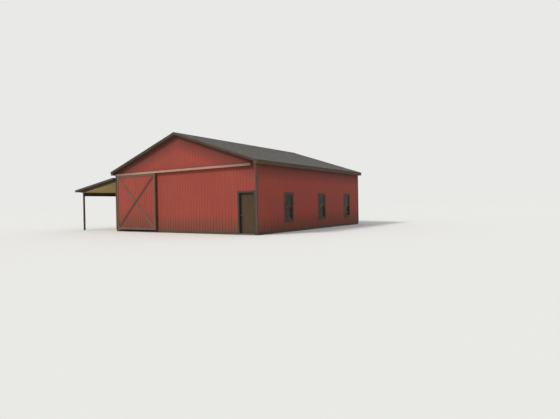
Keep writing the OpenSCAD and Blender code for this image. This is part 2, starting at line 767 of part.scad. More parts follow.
module trolley(x) {
    floor_z = track_z + track_wall;
    axle_z = floor_z + track_gap + trolley_wheel_r;
    block([x - trolley_plate_l / 2, track_y - door_frame_t / 2, barn_door_top],
        [x + trolley_plate_l / 2, track_y + door_frame_t / 2, barn_door_top + trolley_plate_t]);
    translate([x, track_y, barn_door_top]) cylinder(r = trolley_stem_r, h = axle_z - barn_door_top);
    for (dx = [-trolley_wheelbase / 2, trolley_wheelbase / 2]) {
        translate([x + dx, track_y, axle_z]) rotate([90, 0, 0])
            cylinder(r = trolley_axle_r, h = wheel_out, center = true);
        for (s = [-1, 1])
            translate([x + dx, track_y + s * (wheel_out - trolley_wheel_t) / 2, axle_z])
                rotate([90, 0, 0]) cylinder(r = trolley_wheel_r, h = trolley_wheel_t, center = true);
    }
    block([x - trolley_bar_l / 2, track_y - trolley_bar_w / 2, axle_z - trolley_bar_w],
        [x + trolley_bar_l / 2, track_y + trolley_bar_w / 2, axle_z + trolley_bar_w]);
}

module barn_door_trolleys() color(steel_colour)
    for (x = [barn_door_x0 + trolley_inset, barn_door_x1 - trolley_inset]) trolley(x);

// Man door

man_leaf_y0 = -half_l + man_door_recess;
man_leaf_y1 = man_leaf_y0 + man_door_t;

// Boards on the siding beside the doorway and one over it, which fill the space to the corner trim
module man_door_casing() color(trim_paint) {
    x0 = man_doorway_x0 + door_jamb_t / 2;
    x1 = man_doorway_x1 - door_jamb_t / 2;
    corner_x = half_w - corner_trim_w + trim_t - slack;
    top = man_doorway_top - door_jamb_t / 2;
    y0 = -half_l - trim_t;
    block([x0 - door_casing_w, y0, siding_bottom], [x0, -half_l, top]);
    block([x1, y0, siding_bottom], [corner_x, -half_l, top]);
    block([x0 - door_casing_w, y0, top + slack], [corner_x, -half_l, top + slack + casing_w]);
}

// The jambs and the head, with stops that the leaf closes against from inside
stop_d = 14;

module man_door_frame() color(trim_paint) {
    x0 = man_doorway_x0 + door_jamb_t;
    x1 = man_doorway_x1 - door_jamb_t;
    z0 = floor_t + threshold_h;
    z1 = man_doorway_top - door_jamb_t;
    along_y(-half_l, man_leaf_y1) {
        face([man_doorway_x0, floor_t], [x0, z1 - seam]);
        face([x1, floor_t], [man_doorway_x1, z1 - seam]);
        face([man_doorway_x0, z1], [man_doorway_x1, man_doorway_top]);
    }
    along_y(-half_l, man_leaf_y0 - man_door_gap) {
        face([x0 + seam, z0 + seam], [x0 + stop_d, z1 - stop_d - seam]);
        face([x1 - stop_d, z0 + seam], [x1 - seam, z1 - stop_d - seam]);
        face([x0 + seam, z1 - stop_d], [x1 - seam, z1 - seam]);
    }
}

threshold_in = 15;

module man_door_threshold() color(steel_colour)
    block([man_doorway_x0 + door_jamb_t, -half_l - trim_t, floor_t],
        [man_doorway_x1 - door_jamb_t, man_leaf_y1 + threshold_in, floor_t + threshold_h]);

module man_door_leaf() color(door_paint)
    block([man_leaf_x0, man_leaf_y0, man_leaf_z0], [man_leaf_x1, man_leaf_y1, man_leaf_z1]);

// Three butt hinges on the inner face. Each has a pin held by two knuckles on the jamb, and one
// knuckle on the leaf that turns round the pin.
hinge_r = 8;
hinge_pin_r = 4;
hinge_fit = 0.05;
hinge_l = 100;
hinge_knuckle_l = 32;
hinge_plate_t = 3;
hinge_plate_w = 20;
hinge_offset = 2;
hinge_from_end = 180;
hinge_x = man_leaf_x1 + man_door_gap / 2;
hinge_y = man_leaf_y1 + hinge_r + hinge_offset;
hinge_zs = [man_leaf_z0 + hinge_from_end, (man_leaf_z0 + man_leaf_z1) / 2, man_leaf_z1 - hinge_from_end];

module at_hinges() {
    for (z = hinge_zs) translate([hinge_x, hinge_y, z]) children();
}

// A knuckle with its plate on the jamb (side 1) or on the leaf (side -1), centred on its height
module knuckle(side, l) {
    y = man_leaf_y1 - hinge_y;
    cylinder(r = hinge_r, h = l, center = true);
    x = side * hinge_plate_w / 2;
    translate([x, y + hinge_plate_t / 2, 0]) cube([hinge_plate_w, hinge_plate_t, l], center = true);
}

module man_door_hinge_pins() color(steel_colour) at_hinges() {
    z = (hinge_l - hinge_knuckle_l) / 2;
    for (s = [-1, 1]) translate([0, 0, s * z]) knuckle(1, hinge_knuckle_l);
    cylinder(r = hinge_pin_r, h = hinge_l, center = true);
}

module man_door_hinge_knuckles() color(steel_colour) at_hinges() difference() {
    knuckle(-1, hinge_l - 2 * hinge_knuckle_l - 2 * slack);
    cylinder(r = hinge_pin_r + hinge_fit, h = hinge_l, center = true);
}

// A knob with its rose and neck on each face of the leaf
knob_h = 915;
knob_inset = 65;
knob_rose_r = 32;
knob_rose_t = 5;
knob_neck_r = 12;
knob_r = 27;
knob_out = 66;

module man_door_knobs() color(steel_colour) {
    x = man_leaf_x0 + knob_inset;
    for (s = [-1, 1]) {
        y = s < 0 ? man_leaf_y0 : man_leaf_y1;
        translate([x, y, man_leaf_z0 + knob_h]) rotate([s < 0 ? 90 : -90, 0, 0]) rotate_extrude()
            polygon([
                [0, 0], [knob_rose_r, 0], [knob_rose_r, knob_rose_t], [knob_neck_r, 2 * knob_rose_t],
                [knob_neck_r, knob_out / 2], [knob_r, 0.7 * knob_out], [knob_r, 0.85 * knob_out],
                [0.7 * knob_r, knob_out], [0, knob_out]
            ]);
    }
}

// Windows

module at_windows() {
    for (y = window_ys) translate([0, y, 0]) children();
}

// Flat boards on the siding round each window, with a sill that stands out below
sill_t = 40;
sill_out = 45;

module window_casings() color(trim_paint) at_windows() {
    w = window_w / 2 - window_frame_t / 2;
    z0 = window_sill_h + window_frame_t / 2;
    z1 = window_head_h - window_frame_t / 2;
    for (s = [-1, 1]) {
        y = s < 0 ? -w - casing_w : w;
        block([half_w, y, z0 - sill_t], [half_w + trim_t, y + casing_w, z1]);
    }
    block([half_w, -w - casing_w, z1 + slack], [half_w + trim_t, w + casing_w, z1 + slack + casing_w]);
    block([half_w, -w + slack, z0 - sill_t], [half_w + sill_out, w - slack, z0]);
    block([half_w, -w - casing_w, z0 - sill_t - casing_w - slack],
        [half_w + trim_t, w + casing_w, z0 - sill_t - slack]);
}

// The box frame in each opening
module window_frames() color(trim_paint) at_windows()
    along_x(half_w - window_frame_d, half_w)
        frame_boards([-window_w / 2, window_sill_h], [window_w / 2, window_head_h],
            window_frame_t, window_frame_t);

// The lower and the upper sash of each window, the upper one further out
sash_fit = 0.3;
sash_y = window_w / 2 - window_frame_t - sash_fit;
sash_z0 = window_sill_h + window_frame_t + sash_fit;
sash_z1 = window_head_h - window_frame_t - sash_fit;
sash_mid = (sash_z0 + sash_z1) / 2;
sash_reveal = 12;
upper_sash_x = half_w - sash_reveal - sash_t;
lower_sash_x = upper_sash_x - sash_t - slack;
sash_spans = [
    [upper_sash_x, sash_mid - sash_w / 2, sash_z1, sash_w],
    [lower_sash_x, sash_z0, sash_mid + sash_w / 2, sash_bottom_w]
];

module window_sashes() color(trim_paint) at_windows()
    for (s = sash_spans) along_x(s[0], s[0] + sash_t)
        frame_boards([-sash_y, s[1]], [sash_y, s[2]], sash_w, s[3]);

module window_glass() color([0.6, 0.7, 0.7, 0.4]) at_windows() {
    for (s = sash_spans) {
        x = s[0] + (sash_t - glass_t) / 2;
        block([x, -sash_y + sash_w, s[1] + s[3]], [x + glass_t, sash_y - sash_w, s[2] - sash_w]);
    }
}

// Lean-to

module lean_to_posts() color(dark_lumber) {
    half = lean_post_w / 2;
    top = lean_z(lean_post_x, lean_ceiling_drop) - lean_beam_h;
    for (y = lean_ys) block([lean_post_x - half, y - half, 0], [lean_post_x + half, y + half, top]);
}

// The eave beam, with its top planed to the slope of the rafters
module lean_to_beam() color(dark_lumber)
    along_y(-half_l, half_l) {
        x0 = lean_post_x - lean_beam_w / 2;
        x1 = lean_post_x + lean_beam_w / 2;
        z = lean_z(lean_post_x, lean_ceiling_drop) - lean_beam_h;
        polygon([
            [x0, z], [x1, z],
            [x1, lean_z(x1, lean_ceiling_drop)], [x0, lean_z(x0, lean_ceiling_drop)]
        ]);
    }

lean_ledger_x = -half_w - lumber_t;

module lean_to_ledger() color(raw_lumber)
    along_y(-half_l, half_l) lean_strip(lean_ledger_x, -half_w, lean_rafter_drop, lean_rafter_under);

// Each rafter is full depth from the wall to the beam and tapers from there to the eave
module lean_to_rafters() color(raw_lumber) {
    eave_end = lean_eave_x + lumber_t;
    beam_x = lean_post_x - lean_beam_w / 2;
    for (y = lean_rafter_ys) along_y(y - lumber_t / 2, y + lumber_t / 2) polygon([
        [eave_end, lean_z(eave_end, lean_rafter_drop)],
        [lean_ledger_x, lean_z(lean_ledger_x, lean_rafter_drop)],
        [lean_ledger_x, lean_z(lean_ledger_x, lean_rafter_under)],
        [beam_x, lean_z(beam_x, lean_rafter_under)],
        [eave_end, lean_z(eave_end, lean_rafter_drop + lean_fascia_h)]
    ]);
}

// Short boards that carry the overhang from the end rafters out to the rake fascias
lookout_n = 6;

module lean_to_lookouts() color(raw_lumber)
    for (end = [-1, 1], i = [0 : lookout_n - 1]) {
        x0 = lean_eave_x + 2 * lumber_t;
        x1 = lean_ledger_x - 2 * lumber_t;
        x = x0 + i * (x1 - x0) / (lookout_n - 1);
        y0 = end > 0 ? half_l : -rake_y + lumber_t;
        along_y(y0, y0 + rake_overhang - lumber_t)
            lean_strip(x, x + lumber_t, lean_rafter_drop, lean_rafter_drop + purlin_h);
    }

module lean_to_ceiling() color(ply_colour)
    along_y(-half_l, half_l)
        lean_strip(lean_post_x + lean_beam_w / 2 + seam, lean_wall_x,
            lean_ceiling_drop, lean_ceiling_under);

module lean_to_deck() color(ply_colour)
    along_y(-rake_y, rake_y) lean_strip(lean_eave_x, lean_wall_x, deck_drop, deck_drop + deck_t);

module lean_to_shingles() color(shingle_colour)
    along_y(-rake_y - roof_drip, rake_y + roof_drip)
        lean_strip(lean_eave_x - roof_drip, lean_wall_x, 0, shingle_t);

module lean_to_fascias() color(trim_paint) {
    for (end = [-1, 1]) {
        y = end > 0 ? rake_y - lumber_t : -rake_y;
        along_y(y, y + lumber_t) lean_strip(lean_eave_x + lumber_t + slack, lean_wall_x,
            lean_rafter_drop, lean_rafter_drop + lean_fascia_h);
    }
    along_y(-rake_y, rake_y) lean_strip(lean_eave_x, lean_eave_x + lumber_t,
        lean_rafter_drop, lean_rafter_drop + lean_fascia_h);
}

floor_slab();
front_wall_left();
front_wall_middle();
front_wall_right();
front_wall_over_barn_door();
front_wall_over_man_door();
front_gable_wall();
right_wall();
left_wall();
rear_wall();
base_boards();
wall_posts();
end_wall_girts();
side_wall_girts();
truss_ties();
truss_rafters();
truss_webs();
truss_gussets();
purlins();
roof_deck();
roof_shingles();
ridge_cap();
rake_fascias();
rake_mouldings();
eave_fascias();
soffits();
corner_trim();
track_cover_board();
door_track();
track_brackets();
barn_door_panel();
barn_door_frame();
barn_door_trim();
barn_door_brace();
barn_door_trolleys();
man_door_casing();
man_door_frame();
man_door_threshold();
man_door_hinge_pins();
man_door_leaf();
man_door_hinge_knuckles();
man_door_knobs();
window_casings();
window_frames();
window_sashes();
window_glass();
lean_to_posts();
lean_to_beam();
lean_to_ledger();
lean_to_rafters();
lean_to_lookouts();
lean_to_ceiling();
lean_to_deck();
lean_to_shingles();
lean_to_fascias();
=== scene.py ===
# %% [markdown]
# # A red post-frame barn
# This lesson dresses the plain solids of a barn: grooved siding, shingles, trim, doors, windows and an
# open lean-to. The solids come in as a fixed frame, in metres, with X across the gable front, Y back
# along the ridge and Z up. Every piece made here rides on one of the frame's bodies, the barn or its
# sliding door. The man door keeps its solids, which ride on a body of their own.

# %% Load the frame
import math
import bpy
from mathutils import Matrix, Vector


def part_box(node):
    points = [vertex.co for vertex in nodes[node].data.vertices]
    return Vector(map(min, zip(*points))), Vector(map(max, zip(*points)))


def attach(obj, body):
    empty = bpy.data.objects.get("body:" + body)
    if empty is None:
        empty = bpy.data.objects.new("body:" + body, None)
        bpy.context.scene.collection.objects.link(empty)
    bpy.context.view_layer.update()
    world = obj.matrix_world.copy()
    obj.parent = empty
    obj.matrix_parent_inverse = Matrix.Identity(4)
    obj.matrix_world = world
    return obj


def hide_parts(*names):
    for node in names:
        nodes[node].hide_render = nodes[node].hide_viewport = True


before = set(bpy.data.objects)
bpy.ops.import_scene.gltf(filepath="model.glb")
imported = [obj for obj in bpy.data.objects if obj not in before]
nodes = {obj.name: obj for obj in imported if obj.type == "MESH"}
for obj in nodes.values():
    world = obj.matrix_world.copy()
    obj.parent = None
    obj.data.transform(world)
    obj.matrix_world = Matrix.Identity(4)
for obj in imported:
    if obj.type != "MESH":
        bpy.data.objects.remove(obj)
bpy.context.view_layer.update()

# %% [markdown]
# ## The camera
# A camera is a place, a direction and a focal length. These were found by matching straight lines of the
# building, such as its eaves and base, with the same lines in the picture. The matrix is built from
# three axes, because each can be checked by eye: right, up, and the direction that the camera looks
# from. The focal length was found in pixels of a picture 560 pixels wide, so the lens gets its
# millimetres from that width.

# %% Camera
def new_object(name, data):
    """An object that shows its data in the scene."""
    made = bpy.data.objects.new(name, data)
    bpy.context.scene.collection.objects.link(made)
    return made


picture_w = 560
focal_px = 436.6
camera_place = Vector((18.229, -23.217, 1.462))
yaw, pitch, roll = -0.5871, -0.0102, -0.0176

forward = Vector((math.sin(yaw) * math.cos(pitch), math.cos(yaw) * math.cos(pitch), math.sin(pitch)))
level_right = Vector((math.cos(yaw), -math.sin(yaw), 0.0))
level_up = level_right.cross(forward)
right = level_right * math.cos(roll) + level_up * math.sin(roll)
up = level_up * math.cos(roll) - level_right * math.sin(roll)

lens = bpy.data.cameras.new("photo_camera")
lens.sensor_fit = "HORIZONTAL"
lens.sensor_width = 36.0
lens.lens = focal_px * lens.sensor_width / picture_w
lens.clip_end = 2000.0
camera = new_object("photo_camera", lens)
turn = Matrix((right, up, -forward)).transposed().to_4x4()
camera.matrix_world = Matrix.Translation(camera_place) @ turn
bpy.context.scene.camera = camera
print("lens %.1f mm" % lens.lens)

# %% [markdown]
# ## Helpers for node trees
# Shader trees and Geometry Nodes trees are both lists of nodes joined by links. One small helper adds a
# node, fills its inputs with values or links, and returns its outputs.

# %% Node helpers
def add(tree, kind, inputs=None, **settings):
    """Adds a node and returns its outputs. Each input is a plain value, or a socket to link from."""
    made = tree.nodes.new(kind)
    for key, value in settings.items():
        setattr(made, key, value)
    for key, value in (inputs or {}).items():
        if isinstance(value, bpy.types.NodeSocket):
            tree.links.new(value, made.inputs[key])
        else:
            made.inputs[key].default_value = value
    return made.outputs


def calc(tree, operation, *values):
    """One step of arithmetic."""
    return add(tree, "ShaderNodeMath", dict(enumerate(values)), operation=operation)[0]


def plus(tree, a, b):
    """The sum of two numbers."""
    return calc(tree, "ADD", a, b)


def minus(tree, a, b):
    """The first number less the second."""
    return calc(tree, "SUBTRACT", a, b)


def times(tree, a, b):
    """Two numbers multiplied."""
    return calc(tree, "MULTIPLY", a, b)


def vector(tree, x, y=0.0, z=0.0):
    """Three numbers as one vector."""
    return add(tree, "ShaderNodeCombineXYZ", {0: x, 1: y, 2: z})[0]


def split(tree, place):
    """A vector's three numbers."""
    return add(tree, "ShaderNodeSeparateXYZ", {0: place})


def paint(r, g, b):
    """A colour as a picture shows it, from 0 to 255, turned into Blender's linear colour."""
    def linear(c):
        c /= 255.0
        return c / 12.92 if c <= 0.04045 else ((c + 0.055) / 1.055) ** 2.4
    return (linear(r), linear(g), linear(b), 1.0)


# %% [markdown]
# ## Materials
# Old paint is never one colour. It fades where the sun reaches it, streaks where rain runs down, and
# gathers dirt near the ground. Some finishes also carry painted shade, near the ground and under the
# roof. Each finish below is varied by noise at two or three sizes, read from the object's own
# coordinates in metres, so a plank's grain has a real width.

# %% Material helpers
def new_finish(name, roughness):
    """A material with its tree, its main shader and the object's coordinates."""
    made = bpy.data.materials.new(name)
    made.use_nodes = True
    tree = made.node_tree
    shader = tree.nodes["Principled BSDF"]
    shader.inputs["Roughness"].default_value = roughness
    place = add(tree, "ShaderNodeTexCoord")["Object"]
    return made, tree, shader, place


def grain(tree, place, stretch, detail):
    """Noise that is stretched by the three numbers of stretch, in cycles a metre."""
    mapped = add(tree, "ShaderNodeMapping", {"Vector": place, "Scale": stretch})[0]
    noise = {"Vector": mapped, "Scale": 1.0, "Detail": detail, "Roughness": 0.55}
    return add(tree, "ShaderNodeTexNoise", noise)[0]


def spread(tree, value, low, high, start=0.0, end=1.0):
    """Stretches a value's useful range from low..high to start..end, and keeps it there."""
    return add(tree, "ShaderNodeMapRange", {0: value, 1: low, 2: high, 3: start, 4: end})[0]


def blend(tree, factor, a, b):
    """Mixes two colours."""
    return add(tree, "ShaderNodeMix", {0: factor, 6: a, 7: b}, data_type="RGBA")[2]


def vary_gloss(tree, shader, pattern, roughness):
    """Lets a pattern, which runs from 0 to 1, move the roughness a little to both sides."""
    moved = spread(tree, pattern, 0.0, 1.0, roughness - 0.08, roughness + 0.1)
    tree.links.new(moved, shader.inputs["Roughness"])


def relief(tree, shader, height, distance):
    """Turns a height into small bumps on the surface."""
    bumped = add(tree, "ShaderNodeBump", {"Height": height, "Distance": distance, "Strength": 1.0})[0]
    tree.links.new(bumped, shader.inputs["Normal"])


# %% [markdown]
# ### Siding paint
# Barn red that has gone chalky: a warm brick red with paler, pinker patches and thin vertical streaks
# from rain. Along the bottom the wall is duller and darker: soil splash, and painted shade near the
# ground, deepest in the grooves. Close under the roof the wall is darker too: painted shade of the
# overhang. The tree finds how far below the roof each point is from its height and its distance to
# the ridge line. The sheets were painted outside only, so a point in the plane of the inner face, to
# within a hair of one millimetre, shows raw plywood.

# %% Red paint
roof_slope = 4.0 / 12.0
roof_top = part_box("roof_shingles")[1][2]
groove_pitch, siding_t, hair = 0.2032, 0.016, 0.001


def shade_below_roof(tree, place, most):
    """How much painted shade a point gets under the roof's overhang: most right below it, nothing a metre
    down.
    """
    at = split(tree, place)
    fall = times(tree, calc(tree, "ABSOLUTE", at[0]), roof_slope)
    roof = minus(tree, roof_top, fall)
    return spread(tree, minus(tree, roof, at[2]), 1.1, 0.2, 0.0, most)


def red_paint(name, sideways, inner, splash_shade_top=1.0, roof_shade_most=0.8):
    """Red siding. The streaks are thin across the wall, along X or along Y, and the wall's inner face is
    at the distance inner from the barn's middle."""
    made, tree, shader, place = new_finish(name, 0.85)
    thin = (34.0, 1.0, 0.5) if sideways == "X" else (1.0, 34.0, 0.5)
    finest = (150.0, 6.0, 3.0) if sideways == "X" else (6.0, 150.0, 3.0)
    patches = spread(tree, grain(tree, place, (0.55, 0.55, 0.7), 4.0), 0.35, 0.65)
    streaks = spread(tree, grain(tree, place, thin, 4.0), 0.38, 0.7)
    fibres = grain(tree, place, finest, 2.0)
    colour = blend(tree, patches, paint(147, 58, 45), paint(158, 67, 52))
    colour = blend(tree, times(tree, streaks, 0.35), colour, paint(124, 49, 37))
    colour = blend(tree, times(tree, fibres, 0.16), colour, paint(104, 42, 31))
    at = split(tree, place)
    along, inward = (at[0], at[1]) if sideways == "X" else (at[1], at[0])
    # The band along the bottom is soil splash and painted shade near the ground, darkest in the grooves.
    edge = plus(tree, at[2], times(tree, streaks, -0.25))
    splash_and_shade = spread(tree, edge, splash_shade_top, 0.0, 0.0, 0.75)
    across = calc(tree, "DIVIDE", along, groove_pitch)
    off_groove = calc(tree, "ABSOLUTE", minus(tree, calc(tree, "FRACT", across), 0.5))
    groove_dirt_and_shade = spread(tree, off_groove, 0.32, 0.5, 0.0, 0.9)
    colour = blend(tree, splash_and_shade, colour, paint(92, 58, 43))
    colour = blend(tree, times(tree, groove_dirt_and_shade, splash_and_shade), colour, paint(52, 34, 24))
    # Painted shade of the roof overhang, darkest right under the roof.
    colour = blend(tree, shade_below_roof(tree, place, roof_shade_most), colour, paint(70, 34, 25))
    raw = blend(tree, streaks, paint(164, 134, 96), paint(124, 96, 64))
    depth = calc(tree, "ABSOLUTE", inward)
    colour = blend(tree, calc(tree, "LESS_THAN", depth, inner + hair), colour, raw)
    tree.links.new(colour, shader.inputs["Base Color"])
    tree.links.new(spread(tree, patches, 0.0, 1.0, 0.78, 0.9), shader.inputs["Roughness"])
    relief(tree, shader, plus(tree, fibres, times(tree, streaks, 0.5)), 0.0012)
    return made


wall_in_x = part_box("front_wall_right")[1][0] - siding_t
wall_in_y = -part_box("front_wall_right")[0][1] - siding_t
door_inner_y = -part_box("barn_door_panel")[1][1]
front_red = red_paint("front_red", "X", wall_in_y)
side_red = red_paint("side_red", "Y", wall_in_x)
# The sliding door's band of soil splash and painted shade is taller, and it gets less painted shade from the
# roof.
door_red = red_paint("door_red", "X", door_inner_y, splash_shade_top=1.35, roof_shade_most=0.45)
print("inner faces are %.3f and %.3f m from the middle" % (wall_in_x, wall_in_y))

# %% [markdown]
# ### Trim, lumber and plywood
# The trim was painted a grey brown that has worn thin, so raw grain shows through. Framing lumber and
# plywood were never painted: they keep long pale grain and darken with age. Boards that follow a roof
# have sloping grain, so their height is measured from the roof's own slope before the noise is read.
# Round a window the side boards stand and the top and bottom boards lie, so their grain turns with them.
# Each finish mixes a pale and a dark colour, and pairs that are used more than once have names.

# %% Wood finishes
upright = (40.0, 40.0, 1.2)
along_x = (1.2, 40.0, 40.0)
along_y = (40.0, 1.2, 40.0)
level = (1.2, 1.2, 40.0)


def along_roof(tree, place, fall):
    """The same place, with its height measured from a roof that falls away on both sides of the ridge."""
    at = split(tree, place)
    height = plus(tree, at[2], times(tree, calc(tree, "ABSOLUTE", at[0]), fall))
    return vector(tree, at[0], at[1], height)


def turned_grain(tree, place, low, high):
    """Upright grain between two heights, and level grain in the boards above and below them."""
    z = split(tree, place)[2]
    between = times(tree, calc(tree, "GREATER_THAN", z, low), calc(tree, "LESS_THAN", z, high))
    return add(tree, "ShaderNodeMix", {0: between, 4: level, 5: upright}, data_type="VECTOR")[1]


def wood(name, pale, dark, stretch, roughness=0.8, wear=0.6, roof_shade_most=0.0, shine=0.5, fall=0.0, band=None):
    """Wood or thin paint on wood, with grain that is long where stretch is small. A roof's fall makes the
    grain slope, and between the two heights of band it is upright, with level grain below and above."""
    made, tree, shader, place = new_finish(name, roughness)
    shader.inputs["Specular IOR Level"].default_value = shine
    run = along_roof(tree, place, fall) if fall else place
    stretch = turned_grain(tree, place, *band) if band else stretch
    lines = spread(tree, grain(tree, run, stretch, 4.0), 0.35, 0.68)
    stains = spread(tree, grain(tree, place, (1.3, 1.3, 1.3), 5.0), 0.35, 0.7)
    colour = blend(tree, times(tree, lines, wear), pale, dark)
    colour = blend(tree, times(tree, stains, 0.35), colour, dark)
    # Painted shade of the roof overhang, darkest right under the roof.
    if roof_shade_most:
        colour = blend(tree, shade_below_roof(tree, place, roof_shade_most), colour, paint(74, 58, 44))
    tree.links.new(colour, shader.inputs["Base Color"])
    vary_gloss(tree, shader, lines, roughness)
    relief(tree, shader, lines, 0.001)
    return made


lean_slope = 1.9 / 12.0
worn, casing_w = 0.25, 0.089
window_low, window_high = (corner[2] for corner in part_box("window_casings"))
door_low, door_high = (corner[2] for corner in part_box("man_door_casing"))
# The trim's tones lie between its grey-brown paint and that paint's look in shade: partly painted shade.
trim = (paint(94, 78, 58), paint(66, 51, 37))
fascia = (paint(86, 75, 62), paint(60, 48, 38))
lumber = (paint(176, 148, 108), paint(128, 100, 66))
old = (paint(80, 68, 54), paint(46, 38, 30))
trim_upright = wood("trim_upright", *trim, upright, shine=worn)
trim_along_y = wood("trim_along_y", *trim, along_y, shine=worn)
trim_window = wood("trim_window", *trim, upright, shine=worn,
                   band=(window_low + casing_w, window_high - casing_w))
trim_lean_to = wood("trim_lean_to", *trim, level, shine=worn, fall=lean_slope)
# The track cover gets painted shade from the roof overhang, most at its left end, close under the eave.
cover_paint = wood("cover_paint", paint(174, 146, 124), paint(136, 110, 90), along_x, roof_shade_most=0.8)
rake_paint = wood("rake_paint", *fascia, along_x, shine=worn, fall=roof_slope)
# The man door's casing: its trim paint darkened with painted shade.
shaded_door_casing = wood("shaded_door_casing", paint(68, 59, 46), paint(46, 38, 28), upright,
                   band=(door_low, door_high - casing_w))
# The man door's frame is darker still: painted shadow of the door's recess.
shadowed_door_frame = wood("shadowed_door_frame", paint(48, 42, 31), paint(32, 27, 19), upright)
lumber_upright = wood("lumber_upright", *lumber, upright)
lumber_along_x = wood("lumber_along_x", *lumber, along_x)
lumber_along_y = wood("lumber_along_y", *lumber, along_y)
lumber_sloping = wood("lumber_sloping", *lumber, along_x, fall=roof_slope)
old_upright = wood("old_upright", paint(74, 62, 50), paint(42, 34, 26), upright)
old_along_x = wood("old_along_x", *old, along_x)
old_level = wood("old_level", *old, level)
old_sloping = wood("old_sloping", *old, along_x, fall=roof_slope)
# Beam, ledger and lookouts under the lean-to roof: old wood set darker still, partly painted shade.
old_shaded_along_y = wood("old_shaded_along_y", paint(62, 52, 42), paint(36, 28, 22), along_y)
# The ceiling's golden plywood tone is pushed towards olive: painted green light bounced up from grass.
plywood = wood("plywood", paint(170, 152, 82), paint(130, 113, 57), along_y, wear=0.4)
gusset_ply = wood("gusset_ply", paint(176, 146, 102), paint(138, 110, 74), along_x, wear=0.4)
deck_ply = wood("deck_ply", paint(112, 98, 76), paint(78, 66, 50), along_y, wear=0.4)
door_lumber = wood("door_lumber", paint(118, 92, 70), paint(84, 62, 46), upright)
# The man door's leaf: brown paint set darker than in open light, partly painted shade.
part_shaded_door_brown = wood("part_shaded_door_brown", paint(76, 62, 42), paint(54, 43, 28), upright, roughness=0.65, wear=0.4,
                  shine=worn)
print("finishes so far:", len(bpy.data.materials))

# %% [markdown]
# ### Concrete, metal and glass
# The slab is trowelled concrete. The track and its trolleys are galvanised steel, whose zinc shows as
# small flat crystals. Window glass is nearly clear, so the dark room behind it shows, and its coat
# mirrors the bright surroundings.

# %% Mineral and metal finishes
def concrete_finish():
    """Cloudy grey with sand in it."""
    made, tree, shader, place = new_finish("concrete", 0.9)
    cloud = spread(tree, grain(tree, place, (0.8, 0.8, 0.8), 6.0), 0.3, 0.7)
    sand = grain(tree, place, (160.0, 160.0, 160.0), 2.0)
    colour = blend(tree, cloud, paint(150, 146, 136), paint(122, 117, 106))
    colour = blend(tree, times(tree, sand, 0.3), colour, paint(92, 88, 80))
    tree.links.new(colour, shader.inputs["Base Color"])
    relief(tree, shader, sand, 0.0008)
    return made


def metal_finish(name, pale, dark, roughness):
    """Metal with small crystals, each of its own tone and gloss."""
    made, tree, shader, place = new_finish(name, roughness)
    cells = add(tree, "ShaderNodeTexVoronoi", {"Vector": place, "Scale": 70.0})["Color"]
    tone = add(tree, "ShaderNodeSeparateColor", {0: cells})[0]
    tree.links.new(blend(tree, tone, pale, dark), shader.inputs["Base Color"])
    vary_gloss(tree, shader, tone, roughness)
    shader.inputs["Metallic"].default_value = 0.9
    return made


def glass_finish():
    """Old clear glass, slightly wavy."""
    made, tree, shader, place = new_finish("window_glass", 0.05)
    values = {"Base Color": (0.50, 0.56, 0.50, 1.0), "Transmission Weight": 1.0, "IOR": 1.05,
              "Coat Weight": 0.35, "Coat Roughness": 0.03}
    for label, value in values.items():
        shader.inputs[label].default_value = value
    relief(tree, shader, grain(tree, place, (2.2, 2.2, 2.2), 1.0), 0.001)
    return made


concrete = concrete_finish()
zinc = metal_finish("zinc", paint(150, 152, 152), paint(118, 120, 121), 0.45)
knob_steel = metal_finish("knob_steel", paint(138, 130, 114), paint(96, 90, 80), 0.35)
nail_steel = metal_finish("nail_steel", paint(96, 84, 74), paint(66, 56, 50), 0.6)
clear_glass = glass_finish()
print("finishes so far:", len(bpy.data.materials))

# %% [markdown]
# ### Shingles
# Asphalt shingles carry small mineral grains, and no two tabs have quite the same tone. The tab's own
# tone is stored on the mesh by Geometry Nodes, further down, and this finish reads it.

# %% Shingle finish
def shingle_finish():
    """Mineral grains on tabs that each have their own tone, with broad weathered patches."""
    made, tree, shader, place = new_finish("shingles", 0.92)
    tone = add(tree, "ShaderNodeAttribute", attribute_name="tone")["Fac"]
    grains = grain(tree, place, (260.0, 260.0, 260.0), 2.0)
    weather = spread(tree, grain(tree, place, (0.5, 0.5, 0.5), 5.0), 0.35, 0.7)
    colour = blend(tree, tone, paint(70, 69, 68), paint(96, 93, 90))
    colour = blend(tree, times(tree, weather, 0.5), colour, paint(80, 76, 68))
    colour = blend(tree, spread(tree, grains, 0.45, 0.75, 0.0, 0.5), colour, paint(128, 126, 122))
    tree.links.new(colour, shader.inputs["Base Color"])
    relief(tree, shader, grains, 0.0015)
    return made


shingles = shingle_finish()
print("finishes:", len(bpy.data.materials))

# %% [markdown]
# ## Geometry Nodes helpers
# What repeats by a rule, such as grooves, shingles and nails, is best grown by a node tree: the rule is
# written once, and its sizes are inputs with names. These helpers start a tree, end it, and take the
# steps that the trees share.

# %% Tree helpers
def new_tree(name, sizes, counts=(), turns=()):
    """A Geometry Nodes tree with inputs for geometry, sizes, whole numbers, turns and a material."""
    tree = bpy.data.node_groups.new(name, "GeometryNodeTree")
    kinds = {"Geometry": ["Geometry"], "Float": sizes, "Int": counts, "Vector": turns,
             "Material": ["Material"]}
    for kind, labels in kinds.items():
        for label in labels:
            tree.interface.new_socket(name=label, in_out="INPUT", socket_type="NodeSocket" + kind)
    tree.interface.new_socket(name="Geometry", in_out="OUTPUT", socket_type="NodeSocketGeometry")
    return tree, tree.nodes.new("NodeGroupInput").outputs


def point_place(tree):
    """The X, Y and Z of each point that a tree works on."""
    return split(tree, add(tree, "GeometryNodeInputPosition")[0])


def put(tree, geometry, x, y, z):
    """Moves each point of a geometry to a new X, Y and Z."""
    there = {"Geometry": geometry, "Position": vector(tree, x, y, z)}
    return add(tree, "GeometryNodeSetPosition", there)[0]


